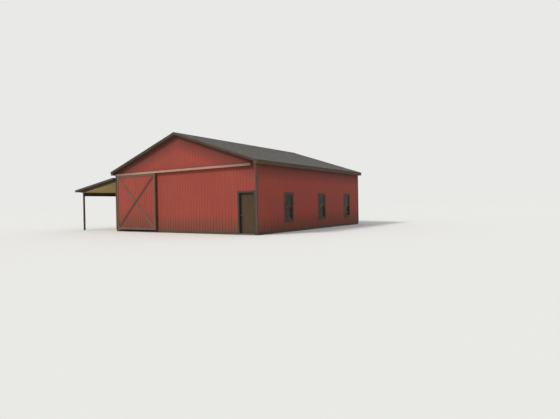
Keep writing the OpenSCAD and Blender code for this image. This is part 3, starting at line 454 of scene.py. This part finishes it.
def join(tree, first, second):
    """Two geometries as one."""
    both = add(tree, "GeometryNodeJoinGeometry", {0: first})[0]
    tree.links.new(second, both.node.inputs[0])
    return both


def copies(tree, points, shape, turn=(0.0, 0.0, 0.0)):
    """A copy of a shape on each point."""
    there = {"Points": points, "Instance": shape, "Rotation": turn}
    return add(tree, "GeometryNodeInstanceOnPoints", there)[0]


def close_tree(tree, geometry, material):
    """Ends a tree: real geometry, with its material."""
    real = add(tree, "GeometryNodeRealizeInstances", {0: geometry})[0]
    dressed = add(tree, "GeometryNodeSetMaterial", {"Geometry": real, "Material": material})[0]
    add(tree, "NodeGroupOutput", {0: dressed})


# %% [markdown]
# A tree works on an object through a modifier, whose inputs are set by identifier. When the tree has
# run, its result is copied to a plain mesh, and the modifier is thrown away before the frame hears of
# the piece.

# %% Piece helpers
def use_tree(thing, tree, values):
    """Puts a tree on an object as a modifier and fills its inputs by identifier."""
    modifier = thing.modifiers.new(tree.name, "NODES")
    modifier.node_group = tree
    for item in tree.interface.items_tree:
        if item.in_out == "INPUT" and item.name in values:
            modifier[item.identifier] = values[item.name]


def mesh_object(name, points=(), edges=(), faces=()):
    """An object with a mesh, either empty or drawn from points, edges and faces."""
    mesh = bpy.data.meshes.new(name)
    mesh.from_pydata(points, edges, faces)
    return new_object(name, mesh)


def grown(thing):
    """The plain mesh that an object's modifiers make."""
    bpy.context.view_layer.update()
    graph = bpy.context.evaluated_depsgraph_get()
    return bpy.data.meshes.new_from_object(thing.evaluated_get(graph))


def hand_over(thing, body, stands_for):
    """Lets a piece ride on a body and stand for the solids that it replaces."""
    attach(thing, body)
    if stands_for:
        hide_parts(*stands_for)
    print("%s: %d faces" % (thing.name, len(thing.data.polygons)))


def settle(thing, body, place=None, stands_for=()):
    """Swaps an object's modifiers for the mesh they make, moved to its place, and hands it over."""
    mesh = grown(thing)
    thing.modifiers.clear()
    if place is not None:
        mesh.transform(place)
    thing.data = mesh
    hand_over(thing, body, stands_for)


# %% [markdown]
# ## Grooved siding
# The walls are plywood sheets with vertical grooves, 203 mm apart, that look like planks. One could cut
# the grooves with a bump, but real edges catch light from every side. The tree lays a backing board and
# then a row of flat planks on it, with a gap at each groove. It clips the row at both ends, and a
# second clip follows the roof's slope, so the same tree makes the gable. On a level wall the ridge is
# set far above, where that second clip does nothing.

# %% Siding tree
def siding_tree():
    """The tree of one stretch of wall, drawn along X with its outer side towards -Y."""
    sizes = ["Start", "End", "Bottom", "Top", "Ridge", "Slope", "Pitch", "Groove", "Depth", "Thickness"]
    tree, given = new_tree("grooved_siding", sizes)
    start, end, pitch, depth = (given[label] for label in ("Start", "End", "Pitch", "Depth"))
    first = calc(tree, "FLOOR", calc(tree, "DIVIDE", start, pitch))
    last = calc(tree, "CEIL", calc(tree, "DIVIDE", end, pitch))
    back = minus(tree, given["Thickness"], depth)
    plank_y = times(tree, plus(tree, back, times(tree, depth, 0.5)), -1.0)
    plank_x = times(tree, plus(tree, first, 0.5), pitch)
    row = add(tree, "GeometryNodeMeshLine", {
        "Count": minus(tree, last, first),
        "Start Location": vector(tree, plank_x, plank_y), "Offset": vector(tree, pitch)})[0]
    plank_w = minus(tree, pitch, given["Groove"])
    plank = add(tree, "GeometryNodeMeshCube", {"Size": vector(tree, plank_w, depth, 1.0)})[0]
    size = vector(tree, minus(tree, end, start), back, 1.0)
    sheet = add(tree, "GeometryNodeMeshCube", {"Size": size, "Vertices X": 3})[0]
    middle = times(tree, plus(tree, start, end), 0.5)
    sheet = add(tree, "GeometryNodeTransform", {
        "Geometry": sheet, "Translation": vector(tree, middle, times(tree, back, -0.5))})[0]
    both = join(tree, copies(tree, row, plank), sheet)
    both = add(tree, "GeometryNodeRealizeInstances", {0: both})[0]
    at = point_place(tree)
    x = calc(tree, "MINIMUM", calc(tree, "MAXIMUM", at[0], start), end)
    fall = times(tree, calc(tree, "ABSOLUTE", x), given["Slope"])
    roof = minus(tree, given["Ridge"], fall)
    top = calc(tree, "MINIMUM", given["Top"], roof)
    is_top = calc(tree, "GREATER_THAN", at[2], 0.0)
    rise = times(tree, minus(tree, top, given["Bottom"]), is_top)
    z = plus(tree, given["Bottom"], rise)
    shaped = put(tree, both, x, at[1], z)
    close_tree(tree, join(tree, shaped, given["Geometry"]), given["Material"])
    return tree


siding = siding_tree()
print("siding tree:", len(siding.nodes), "nodes")

# %% [markdown]
# The tree draws every wall on one plane. A wall is one or more sheets, each grown by a modifier of its
# own, and a matrix then turns the whole wall to its side of the barn.

# %% Sheets on a wall
far_above = 100.0
groove_values = {"Pitch": groove_pitch, "Groove": 0.010, "Depth": 0.006, "Thickness": siding_t,
                 "Ridge": far_above, "Slope": 0.0}


def clad(name, body, sheets, place, paint_used, stands_for, **extra):
    """Grooved sheets, each from start to end and bottom to top along one wall, as one piece."""
    thing = mesh_object(name)
    for start, end, bottom, top in sheets:
        use_tree(thing, siding, dict(groove_values, Start=start, End=end, Bottom=bottom, Top=top,
                                     Material=paint_used, **extra))
    settle(thing, body, place, stands_for)


def facing(side, inner):
    """Turns the drawing plane, whose outer side is -Y, to face front, right, rear or left."""
    angle, shift = {
        "front": (0, (0, -inner, 0)),
        "right": (90, (inner, 0, 0)),
        "rear": (180, (0, inner, 0)),
        "left": (270, (-inner, 0, 0)),
    }[side]
    return Matrix.Translation(Vector(shift)) @ Matrix.Rotation(math.radians(angle), 4, "Z")


# %% [markdown]
# ### The front and rear walls
# The front is made of the sheets beside and over the two doorways, and the gable above them. The rear is
# one sheet up to the roof. Each sheet is read from its solid's own box, so the siding can't drift from
# the frame, and the two that reach the roof are also given its ridge and slope.

# %% Front and rear siding
def box_sheet(node_name):
    """The start, end, bottom and top of a solid that faces the front or rear."""
    low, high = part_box(node_name)
    return (low[0], high[0], low[2], high[2])


front_place = facing("front", wall_in_y)
for part in ("left", "middle", "right", "over_barn_door", "over_man_door"):
    node_name = "front_wall_" + part
    clad("siding_" + node_name, "barn", [box_sheet(node_name)], front_place, front_red, [node_name])

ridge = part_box("front_gable_wall")[1][2]
clad("siding_front_gable", "barn", [box_sheet("front_gable_wall")], front_place, front_red,
     ["front_gable_wall"], Ridge=ridge, Slope=roof_slope)
clad("siding_rear", "barn", [box_sheet("rear_wall")], facing("rear", wall_in_y), front_red,
     ["rear_wall"], Ridge=ridge, Slope=roof_slope)

# %% [markdown]
# ### The side walls
# The right wall is split at its three windows: tall sheets between them, and short ones under the sills
# and over the heads, each a hair clear of the tall ones. The left wall is as long and has no opening, so
# it is one sheet.

# %% Side siding
window_ys = (-3.175, 0.605, 4.205)
window_w, sill_z, head_z = 0.762, 0.650, 2.065
low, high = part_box("right_wall")
edges = [low[1]] + [y + s * window_w / 2 for y in window_ys for s in (-1, 1)] + [high[1]]
sheets = [(edges[i], edges[i + 1], low[2], high[2]) for i in range(0, len(edges), 2)]
for y in window_ys:
    a, b = y - window_w / 2 + hair, y + window_w / 2 - hair
    sheets += [(a, b, low[2], sill_z), (a, b, head_z, high[2])]
clad("siding_right", "barn", sheets, facing("right", wall_in_x), side_red, ["right_wall"])
clad("siding_left", "barn", [(low[1], high[1], low[2], high[2])], facing("left", wall_in_x), side_red,
     ["left_wall"])

# %% [markdown]
# ## Shingles
# A shingle roof is a brick pattern: each course covers the top of the one below, and its joints fall
# halfway between the joints beneath. No roofer lays a course quite straight, so each tab is up to 3 mm
# off. Two helpers come first: a seeded random number, and a box that starts at a corner.

# %% Shingle helpers
def chance(tree, low, high, seed):
    """A number between low and high for each point, the same at every run."""
    numbers = {2: low, 3: high, "Seed": seed}
    return add(tree, "FunctionNodeRandomValue", numbers, data_type="FLOAT")[1]


def block(tree, x, y, z, rise):
    """A box of x by y by z with a corner at the origin. It stands on the plane where rise is 0.5, and
    hangs below it where rise is -0.5."""
    cube = add(tree, "GeometryNodeMeshCube", {"Size": vector(tree, x, y, z)})[0]
    middle = vector(tree, times(tree, x, 0.5), times(tree, y, 0.5), times(tree, z, rise))
    there = {"Geometry": cube, "Translation": middle}
    return add(tree, "GeometryNodeTransform", there)[0]


# %% [markdown]
# The tree makes a grid of points, moves every second row by half a tab, and puts a thin tilted tab on
# each point. A tab reaches about an eighth of its course under the next, and courses and tabs too small
# to cut are left out. A random number per tab is stored as "tone".

# %% Shingle tree
def shingle_tree():
    """The tree of a flat field of shingles: Length along X, and Run up the slope along Y."""
    sizes = ["Length", "Run", "Exposure", "Tab", "Gap", "Thickness", "Base"]
    tree, given = new_tree("shingle_courses", sizes, ["Seed"])
    length, run, exposure, tab = (given[label] for label in ("Length", "Run", "Exposure", "Tab"))
    thick = given["Thickness"]
    uneven, overlap, least_course, least_tab, seed_step = 0.003, 1.12, 0.05, 0.02, 7.0
    rows = calc(tree, "CEIL", minus(tree, calc(tree, "DIVIDE", run, exposure), least_course))
    columns = plus(tree, calc(tree, "CEIL", calc(tree, "DIVIDE", length, tab)), 1.0)
    span_x = times(tree, minus(tree, columns, 1.0), tab)
    span_y = times(tree, minus(tree, rows, 1.0), exposure)
    grid = add(tree, "GeometryNodeMeshGrid", {
        "Size X": span_x, "Size Y": span_y, "Vertices X": columns, "Vertices Y": rows})[0]
    at = point_place(tree)
    x0 = plus(tree, at[0], times(tree, span_x, 0.5))
    y0 = plus(tree, at[1], times(tree, span_y, 0.5))
    row = calc(tree, "ROUND", calc(tree, "DIVIDE", y0, exposure))
    half_tab = times(tree, calc(tree, "MODULO", row, 2.0), times(tree, tab, -0.5))
    jog = chance(tree, -uneven, uneven, given["Seed"])
    y1 = calc(tree, "MAXIMUM", plus(tree, y0, jog), 0.0)
    moved = put(tree, grid, plus(tree, x0, half_tab), y1, thick)
    outside = calc(tree, "GREATER_THAN", point_place(tree)[0], minus(tree, length, least_tab))
    kept = add(tree, "GeometryNodeDeleteGeometry", {"Geometry": moved, "Selection": outside})[0]
    tab_l = times(tree, exposure, overlap)
    shape = block(tree, minus(tree, tab, given["Gap"]), tab_l, thick, 0.5)
    tilt = times(tree, calc(tree, "ARCTANGENT", calc(tree, "DIVIDE", thick, exposure)), -1.0)
    tabs = copies(tree, kept, shape, vector(tree, tilt))
    tone = chance(tree, 0.0, 1.0, plus(tree, given["Seed"], seed_step))
    tabs = add(tree, "GeometryNodeStoreNamedAttribute", {
        "Geometry": tabs, "Name": "tone", "Value": tone}, data_type="FLOAT", domain="INSTANCE")[0]
    tabs = add(tree, "GeometryNodeRealizeInstances", {0: tabs})[0]
    at = point_place(tree)
    x = calc(tree, "MINIMUM", calc(tree, "MAXIMUM", at[0], 0.0), length)
    clipped = put(tree, tabs, x, calc(tree, "MINIMUM", at[1], run), at[2])
    felt = block(tree, length, run, given["Base"], -0.5)
    close_tree(tree, join(tree, clipped, felt), given["Material"])
    return tree


courses = shingle_tree()
print("shingle tree:", len(courses.nodes), "nodes")

# %% [markdown]
# A field of shingles is grown flat on a spare object, and only its mesh is kept.

# %% Shingle field
shingle_values = {"Exposure": 0.143, "Tab": 0.305, "Gap": 0.005, "Thickness": 0.004, "Base": 0.002}


def shingle(name, length, run, seed):
    """A flat field of shingles: length along the eave, run up the slope."""
    thing = mesh_object(name)
    use_tree(thing, courses, dict(shingle_values, Length=length, Run=run, Seed=seed, Material=shingles))
    mesh = grown(thing)
    bpy.data.objects.remove(thing)
    return mesh


# %% [markdown]
# ### Laying the roofs
# A slope has three directions: along the eave, up the slope, and square to it. A matrix of these three
# and a corner point lays a flat field of shingles on the roof. The field starts where the solid's own
# layer starts, which is that layer's thickness below its top. The main roof has two slopes, whose fields
# are joined, because they are one piece of the barn.

# %% Roofs
def lay(corner, along, upwards):
    """The matrix that lays a flat field at a corner, along one direction and up another."""
    along, upwards = Vector(along).normalized(), Vector(upwards).normalized()
    out = along.cross(upwards)
    return Matrix.Translation(Vector(corner)) @ Matrix((along, upwards, out)).transposed().to_4x4()


def on_slope(measure, slope):
    """A level width measured up the slope, or a thickness square to the slope measured straight down."""
    return measure / math.cos(math.atan(slope))


layer_t = 0.010


def cover_roof(name, solid, slope, fields):
    """Shingles on a solid's slopes, as one piece. A field runs from the X of its eave to that of its top,
    and has a seed of its own."""
    low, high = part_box(solid)
    under = on_slope(shingle_values["Base"] - layer_t, slope)
    things = []
    for field, eave_x, top_x, seed in fields:
        across, way = abs(top_x - eave_x), 1 if top_x > eave_x else -1
        corner = (eave_x, high[1] if way > 0 else low[1], high[2] - across * slope + under)
        mesh = shingle(field, high[1] - low[1], on_slope(across, slope), seed)
        mesh.transform(lay(corner, (0, -way, 0), (way, 0, slope)))
        things.append(new_object(name, mesh))
    chosen = {"active_object": things[0], "selected_objects": things, "selected_editable_objects": things}
    with bpy.context.temp_override(**chosen):
        bpy.ops.object.join()
    hand_over(things[0], "barn", [solid])


roof_eave_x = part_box("roof_shingles")[1][0]
lean_eave_x, lean_top_x = (corner[0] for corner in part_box("lean_to_shingles"))
cover_roof("main_shingles", "roof_shingles", roof_slope,
           [("right_field", roof_eave_x, 0.0, 3), ("left_field", -roof_eave_x, 0.0, 5)])
cover_roof("lean_to_shingle_field", "lean_to_shingles", lean_slope,
           [("lean_field", lean_eave_x, lean_top_x, 8)])

# %% [markdown]
# ## Nails
# Sheets and boards are held by nails in rows. A line is drawn along each row, and a tree puts a small
# flat head at every step of the line. Heads have eight sides only: nobody sees more.

# %% Nail tree
def nail_tree():
    """The tree of nail heads, Spacing apart along each line and turned to face out of the board."""
    tree, given = new_tree("nail_rows", ["Spacing", "Radius", "Height"], turns=["Turn"])
    line = add(tree, "GeometryNodeMeshToCurve", {0: given["Geometry"]})[0]
    steps = add(tree, "GeometryNodeResampleCurve", {"Curve": line, "Length": given["Spacing"]}, mode="LENGTH")
    head = add(tree, "GeometryNodeMeshCylinder", {
        "Vertices": 8, "Radius": given["Radius"], "Depth": given["Height"]})
    close_tree(tree, copies(tree, steps[0], head[0], given["Turn"]), given["Material"])
    return tree


nail_rows = nail_tree()
print("nail tree:", len(nail_rows.nodes), "nodes")
head_height = 0.004


def nail(name, rows, turn, spacing, body, radius=0.0045):
    """Nail heads along rows, each given by its two ends. turn points the heads out of the board."""
    points = [p for row in rows for p in row]
    lines = [(2 * i, 2 * i + 1) for i in range(len(rows))]
    thing = mesh_object(name, points, lines)
    use_tree(thing, nail_rows, {
        "Spacing": spacing, "Radius": radius, "Height": head_height, "Turn": turn, "Material": nail_steel})
    settle(thing, body)


front_turn = (math.pi / 2, 0.0, 0.0)
side_turn = (0.0, math.pi / 2, 0.0)

# %% [markdown]
# ### Nails on the siding
# Plywood siding is nailed along each girt, about one nail to each plank. The rows run level, at the
# heights of the girts behind the front's large sheet and the window wall, and they stop short of the
# corners, the windows and the roof. The gable has three rows of its own.

# %% Siding nails
girt_heights = (0.20, 0.58, 1.3575, 2.135, 2.795, 3.315)
gable_heights = (4.05, 4.50, 4.95)
left_margin, right_margin, roof_margin = 0.03, 0.15, 0.05
middle_low, middle_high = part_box("front_wall_middle")
row_start, row_end = middle_low[0] + left_margin, middle_high[0] - right_margin
front_y = middle_low[1]
rows = [((row_start, front_y, z), (row_end, front_y, z)) for z in girt_heights]
for z in gable_heights:
    reach = (ridge - z) / roof_slope - roof_margin
    rows.append(((-reach, front_y, z), (reach, front_y, z)))
nail("front_nails", rows, front_turn, groove_pitch, "barn")

side_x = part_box("right_wall")[1][0]
side_reach, window_margin = 6.0, 0.5
window_stops = [y + s * window_margin for y in window_ys for s in (-1, 1)]
rows = []
for z in girt_heights:
    stops = [-side_reach] + (window_stops if sill_z < z < head_z else []) + [side_reach]
    rows += [((side_x, stops[i], z), (side_x, stops[i + 1], z)) for i in range(0, len(stops), 2)]
nail("right_nails", rows, side_turn, groove_pitch, "barn")

# %% [markdown]
# ## The sliding door
# The door is a sheet of the same siding on a frame of lumber, with wide boards round its edge and an X
# of boards corner to corner, which keeps the big sheet square. All of it rides on the sliding door's
# body, so it moves along the track.

# %% Sliding door skin
clad("siding_sliding_door", "sliding_door", [box_sheet("barn_door_panel")], facing("front", door_inner_y),
     door_red, ["barn_door_panel"])

# %% [markdown]
# The trim and brace boards have worn edges and grain that runs along each board, so they are made here
# board by board. A small bevel softens a board's edges, and its ends stay clear of its neighbours by a
# hair, as real butt joints do. Each board carries the direction of its length in a UV map: U runs along
# it, and each board's map starts somewhere else, so that no two boards share their streaks.

# %% Boards with their own grain
def board_finish(name, pale, dark):
    """Worn paint on boards. The grain follows U, in metres."""
    roughness = 0.82
    made, tree, shader, place = new_finish(name, roughness)
    along = add(tree, "ShaderNodeUVMap", uv_map="board")[0]
    stretched = add(tree, "ShaderNodeMapping", {"Vector": along, "Scale": (1.3, 46.0, 1.0)})[0]
    lines = add(tree, "ShaderNodeTexNoise", {"Vector": stretched, "Scale": 1.0, "Detail": 4.0})[0]
    lines = spread(tree, lines, 0.35, 0.68)
    stains = spread(tree, grain(tree, place, (1.7, 1.7, 1.7), 5.0), 0.35, 0.7)
    colour = blend(tree, times(tree, lines, 0.6), pale, dark)
    colour = blend(tree, times(tree, stains, 0.4), colour, dark)
    tree.links.new(colour, shader.inputs["Base Color"])
    vary_gloss(tree, shader, lines, roughness)
    relief(tree, shader, lines, 0.001)
    return made


edge_paint = board_finish("edge_paint", paint(112, 86, 66), paint(78, 56, 40))
# The X brace's through board is painted darker than its halves: painted shade along it.
through_board_shaded = board_finish("through_board_shaded", paint(96, 60, 45), paint(64, 38, 27))
half_paint = board_finish("half_paint", paint(120, 84, 66), paint(84, 56, 42))
print("finishes so far:", len(bpy.data.materials))

# %% [markdown]
# A board starts as a flat outline, set once at its front and once at its back, and a face joins each
# pair of their edges. The corners of a face are counted so that it points outwards.

# %% Board meshes
def boards(name, pieces, body, stands_for, finishes):
    """Boards drawn as outlines in the X-Z plane, each with the direction of its length and the Y of its
    back and front. There is one finish for all of them, or one for each."""
    shift_u, shift_v = 3.7, 1.3
    points, faces, maps, owners = [], [], [], []
    for number, (outline, along, (y_back, y_front)) in enumerate(pieces):
        first, count, depth = len(points), len(outline), y_back - y_front
        along = Vector(along).normalized()
        across = Vector((-along[1], along[0]))
        flat = [((p[0] * along[0] + p[1] * along[1]) + shift_u * number,
                 (p[0] * across[0] + p[1] * across[1]) + shift_v * number) for p in outline]
        points += [(p[0], y_front, p[1]) for p in outline] + [(p[0], y_back, p[1]) for p in outline]
        faces.append([first + i for i in range(count)])
        maps.append(flat)
        faces.append([first + count + i for i in reversed(range(count))])
        maps.append(flat[::-1])
        for i in range(count):
            j = (i + 1) % count
            faces.append([first + j, first + i, first + count + i, first + count + j])
            (u_i, v_i), (u_j, v_j) = flat[i], flat[j]
            maps.append([(u_j, v_j), (u_i, v_i), (u_i, v_i + depth), (u_j, v_j + depth)])
        owners += [number % len(finishes)] * (count + 2)
    thing = mesh_object(name, points, faces=faces)
    mesh = thing.data
    grain_map = mesh.uv_layers.new(name="board")
    for corner, spot in enumerate(spot for face in maps for spot in face):
        grain_map.data[corner].uv = spot
    for finish in finishes:
        mesh.materials.append(finish)
    mesh.polygons.foreach_set("material_index", owners)
    soft = thing.modifiers.new("soft_edges", "BEVEL")
    soft.width = 0.002
    soft.segments = 1
    soft.limit_method = "ANGLE"
    settle(thing, body, stands_for=stands_for)


def rectangle(x0, z0, x1, z1):
    """The corners of a rectangle, counted anticlockwise, so that a board's front faces -Y."""
    return [(x0, z0), (x1, z0), (x1, z1), (x0, z1)]


# %% [markdown]
# Two boards stand at the door's sides, and two lie between them, over and under the X brace's panel.

# %% Sliding door edge boards
trim_low, trim_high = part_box("barn_door_trim")
board_w = 0.140
x0, x1, z0, z1 = box_sheet("barn_door_trim")
door_depth = (trim_high[1], trim_low[1])
bx0, bx1 = x0 + board_w + hair, x1 - board_w - hair
bz0, bz1 = z0 + board_w + hair, z1 - board_w - hair
edge_boards = [
    (rectangle(x0, z0, x0 + board_w, z1), (0, 1), door_depth),
    (rectangle(x1 - board_w, z0, x1, z1), (0, 1), door_depth),
    (rectangle(bx0, z0, bx1, z0 + board_w), (1, 0), door_depth),
    (rectangle(bx0, z1 - board_w, bx1, z1), (1, 0), door_depth),
]
boards("sliding_door_edge_boards", edge_boards, "sliding_door", ["barn_door_trim"], [edge_paint])

# %% [markdown]
# Of the X brace, one board runs through and the other is in two halves, which stop just short of it.
# Their ends are cut to the panel's corners. The outlines below are the same as the solids': half a
# board's width is measured along the sides of the panel, so that each brace board fills its corner.

# %% Sliding door brace
cut_gap = 0.0015
brace_w, brace_h = bx1 - bx0, bz1 - bz0
half_width = board_w / 2 * math.hypot(brace_w, brace_h)
dx, dz = half_width / brace_h, half_width / brace_w
through = [(bx0, bz0), (bx0 + dx, bz0), (bx1, bz1 - dz), (bx1, bz1), (bx1 - dx, bz1), (bx0, bz0 + dz)]


def across_at(x, sign):
    """The height at x of the through board's upper or lower edge, moved out by the gap."""
    return bz0 + (x - bx0) * brace_h / brace_w + sign * (dz + cut_gap)


def meet(start, end, sign):
    """Where an edge of the other diagonal meets that moved edge."""
    slope = (end[1] - start[1]) / (end[0] - start[0])
    rise = brace_h / brace_w
    x = (across_at(bx0, sign) - rise * bx0 - start[1] + slope * start[0]) / (slope - rise)
    return (x, start[1] + slope * (x - start[0]))


upper = ((bx0 + dx, bz1), (bx1, bz0 + dz))
lower = ((bx0, bz1 - dz), (bx1 - dx, bz0))
left_half = [(bx0, bz1 - dz), meet(*lower, 1), meet(*upper, 1), (bx0 + dx, bz1), (bx0, bz1)]
right_half = [meet(*lower, -1), (bx1 - dx, bz0), (bx1, bz0), (bx1, bz0 + dz), meet(*upper, -1)]
falling = (brace_w, -brace_h)
brace_boards = [(through, (brace_w, brace_h), door_depth), (left_half, falling, door_depth),
                (right_half, falling, door_depth)]
boards("sliding_door_x_brace", brace_boards, "sliding_door", ["barn_door_brace"],
       [through_board_shaded, half_paint, half_paint])

# %% [markdown]
# A wide board is nailed in two rows, one near each of its edges, and a brace board along its middle.
# These nails are bigger than the siding's and about 30 cm apart.

# %% Sliding door nails
face_y = trim_low[1]
from_edge, from_end, from_corner, board_spacing = 0.035, 0.05, 0.2, 0.3
rows = []
for x in (x0 + from_edge, x0 + board_w - from_edge, x1 - board_w + from_edge, x1 - from_edge):
    rows.append(((x, face_y, z0 + from_end), (x, face_y, z1 - from_end)))
for z in (z0 + from_edge, z0 + board_w - from_edge, z1 - board_w + from_edge, z1 - from_edge):
    rows.append(((x0 + board_w + from_end, face_y, z), (x1 - board_w - from_end, face_y, z)))
left_end, right_end, rise = bx0 + from_corner, bx1 - from_corner, from_corner * brace_h / brace_w
rows += [((left_end, face_y, bz0 + rise), (right_end, face_y, bz1 - rise)),
         ((left_end, face_y, bz1 - rise), (right_end, face_y, bz0 + rise))]
nail("sliding_door_nails", rows, front_turn, board_spacing, "sliding_door", radius=0.006)

# %% [markdown]
# ## Closing the ends of the eaves
# Under each eave a box runs out past the gable: the fascia, the level boards below it and the roof above.
# Carpenters close the open end of that box with two small boards, one in line with the gable's fascia
# and one over the wall's corner. Both follow the roof's slope at the top.

# %% Eave ends
rake_low, rake_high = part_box("rake_fascias")
wall_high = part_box("rear_wall")[1]
eave_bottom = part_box("eave_fascias")[0][2]
soffit_t, corner_board_t, lumber_t = 0.010, 0.012, 0.038


def end_board(x_in, x_out, z_bottom, y_in, y_out, side, end):
    """One closing board, given for the right rear corner and mirrored to a side and an end."""
    outline = [(x, z_bottom) for x in (x_in, x_out)]
    outline += [(x, rake_low[2] + (rake_high[0] - x) * roof_slope - hair) for x in (x_out, x_in)]
    if side < 0:
        outline = [(-x, z) for x, z in reversed(outline)]
    depth = (y_out, y_in) if end > 0 else (-y_in, -y_out)
    return (outline, (0, 1), depth)


return_paint = board_finish("return_paint", *fascia)
in_line = (wall_high[0], rake_high[0], eave_bottom, rake_high[1] - lumber_t, rake_high[1])
over_corner = (wall_high[0] + hair, wall_high[0] + corner_board_t, eave_bottom + soffit_t + hair,
               wall_high[1] + hair, rake_high[1] - lumber_t - hair)
end_boards = [end_board(*sizes, side, end)
              for side in (-1, 1) for end in (-1, 1) for sizes in (in_line, over_corner)]
boards("eave_end_boards", end_boards, "barn", [], [return_paint])

# %% [markdown]
# ## Finishes for the plain solids
# The rest of the barn keeps its solids, whose shapes are already right: posts, girts, trusses, trim,
# glass and metal. Each gets the finish whose grain runs along it.

# %% Dress the solids
finish_of = {
    concrete: ["floor_slab"],
    lumber_upright: ["wall_posts"],
    lumber_along_x: ["end_wall_girts", "truss_ties", "truss_webs"],
    lumber_sloping: ["truss_rafters"],
    door_lumber: ["barn_door_frame"],
    lumber_along_y: ["side_wall_girts", "purlins"],
    plywood: ["lean_to_ceiling"],
    gusset_ply: ["truss_gussets"],
    deck_ply: ["roof_deck", "lean_to_deck"],
    shingles: ["ridge_cap"],
    rake_paint: ["rake_fascias"],
    trim_along_y: ["eave_fascias", "soffits"],
    trim_lean_to: ["lean_to_fascias"],
    trim_upright: ["corner_trim"],
    trim_window: ["window_casings", "window_frames", "window_sashes"],
    shaded_door_casing: ["man_door_casing"],
    shadowed_door_frame: ["man_door_frame"],
    cover_paint: ["track_cover_board"],
    zinc: ["door_track", "track_brackets", "barn_door_trolleys", "man_door_threshold"],
    knob_steel: ["man_door_knobs", "man_door_hinge_pins", "man_door_hinge_knuckles"],
    part_shaded_door_brown: ["man_door_leaf"],
    clear_glass: ["window_glass"],
    old_upright: ["lean_to_posts"],
    old_shaded_along_y: ["lean_to_beam", "lean_to_ledger", "lean_to_lookouts"],
    old_along_x: ["lean_to_rafters"],
    old_sloping: ["rake_mouldings"],
    old_level: ["base_boards"],
}
for finish, names in finish_of.items():
    for node_name in names:
        for held in nodes[node_name].material_slots:
            held.material = finish
print("solids with a finish:", sum(len(names) for names in finish_of.values()))

# %% [markdown]
# ## Floor, backdrop and light
# The barn stands on a plain pale floor that reaches far past the picture. Such a floor looks equally
# bright from every side, so a sky of the same tone hides the line where they meet. One wide sun lamp
# gives soft shadows, and the pale sky fills the rest.

# %% Stage
floor_reach, floor_z = 600.0, -0.002
floor_sides = rectangle(-floor_reach, -floor_reach, floor_reach, floor_reach)
floor = mesh_object("pale_floor", [(x, y, floor_z) for x, y in floor_sides], faces=[(0, 1, 2, 3)])
floor_finish, _, shader, _ = new_finish("pale_floor", 1.0)
shader.inputs["Base Color"].default_value = paint(232, 231, 228)
shader.inputs["Specular IOR Level"].default_value = 0.0
floor.data.materials.append(floor_finish)

world = bpy.data.worlds.new("pale_sky")
bpy.context.scene.world = world
world.use_nodes = True
sky = world.node_tree
backing = sky.nodes["Background"]
path = add(sky, "ShaderNodeLightPath")
seen = calc(sky, "MAXIMUM", path["Is Camera Ray"], path["Is Glossy Ray"])
seen = calc(sky, "MAXIMUM", seen, path["Is Transmission Ray"])
sky.links.new(blend(sky, seen, (0.92, 0.96, 1.0, 1.0), paint(233, 233, 231)), backing.inputs["Color"])
sky.links.new(spread(sky, seen, 0.0, 1.0, 0.62, 1.0), backing.inputs["Strength"])

sun = bpy.data.lights.new("key", "SUN")
sun.energy = 2.1
sun.angle = math.radians(14.0)
sun.color = (1.0, 0.96, 0.9)
key = new_object("key", sun)
key.rotation_euler = (math.radians(48.0), 0.0, math.radians(-30.0))
bpy.context.scene.view_settings.view_transform = "Standard"
print("stage ready")
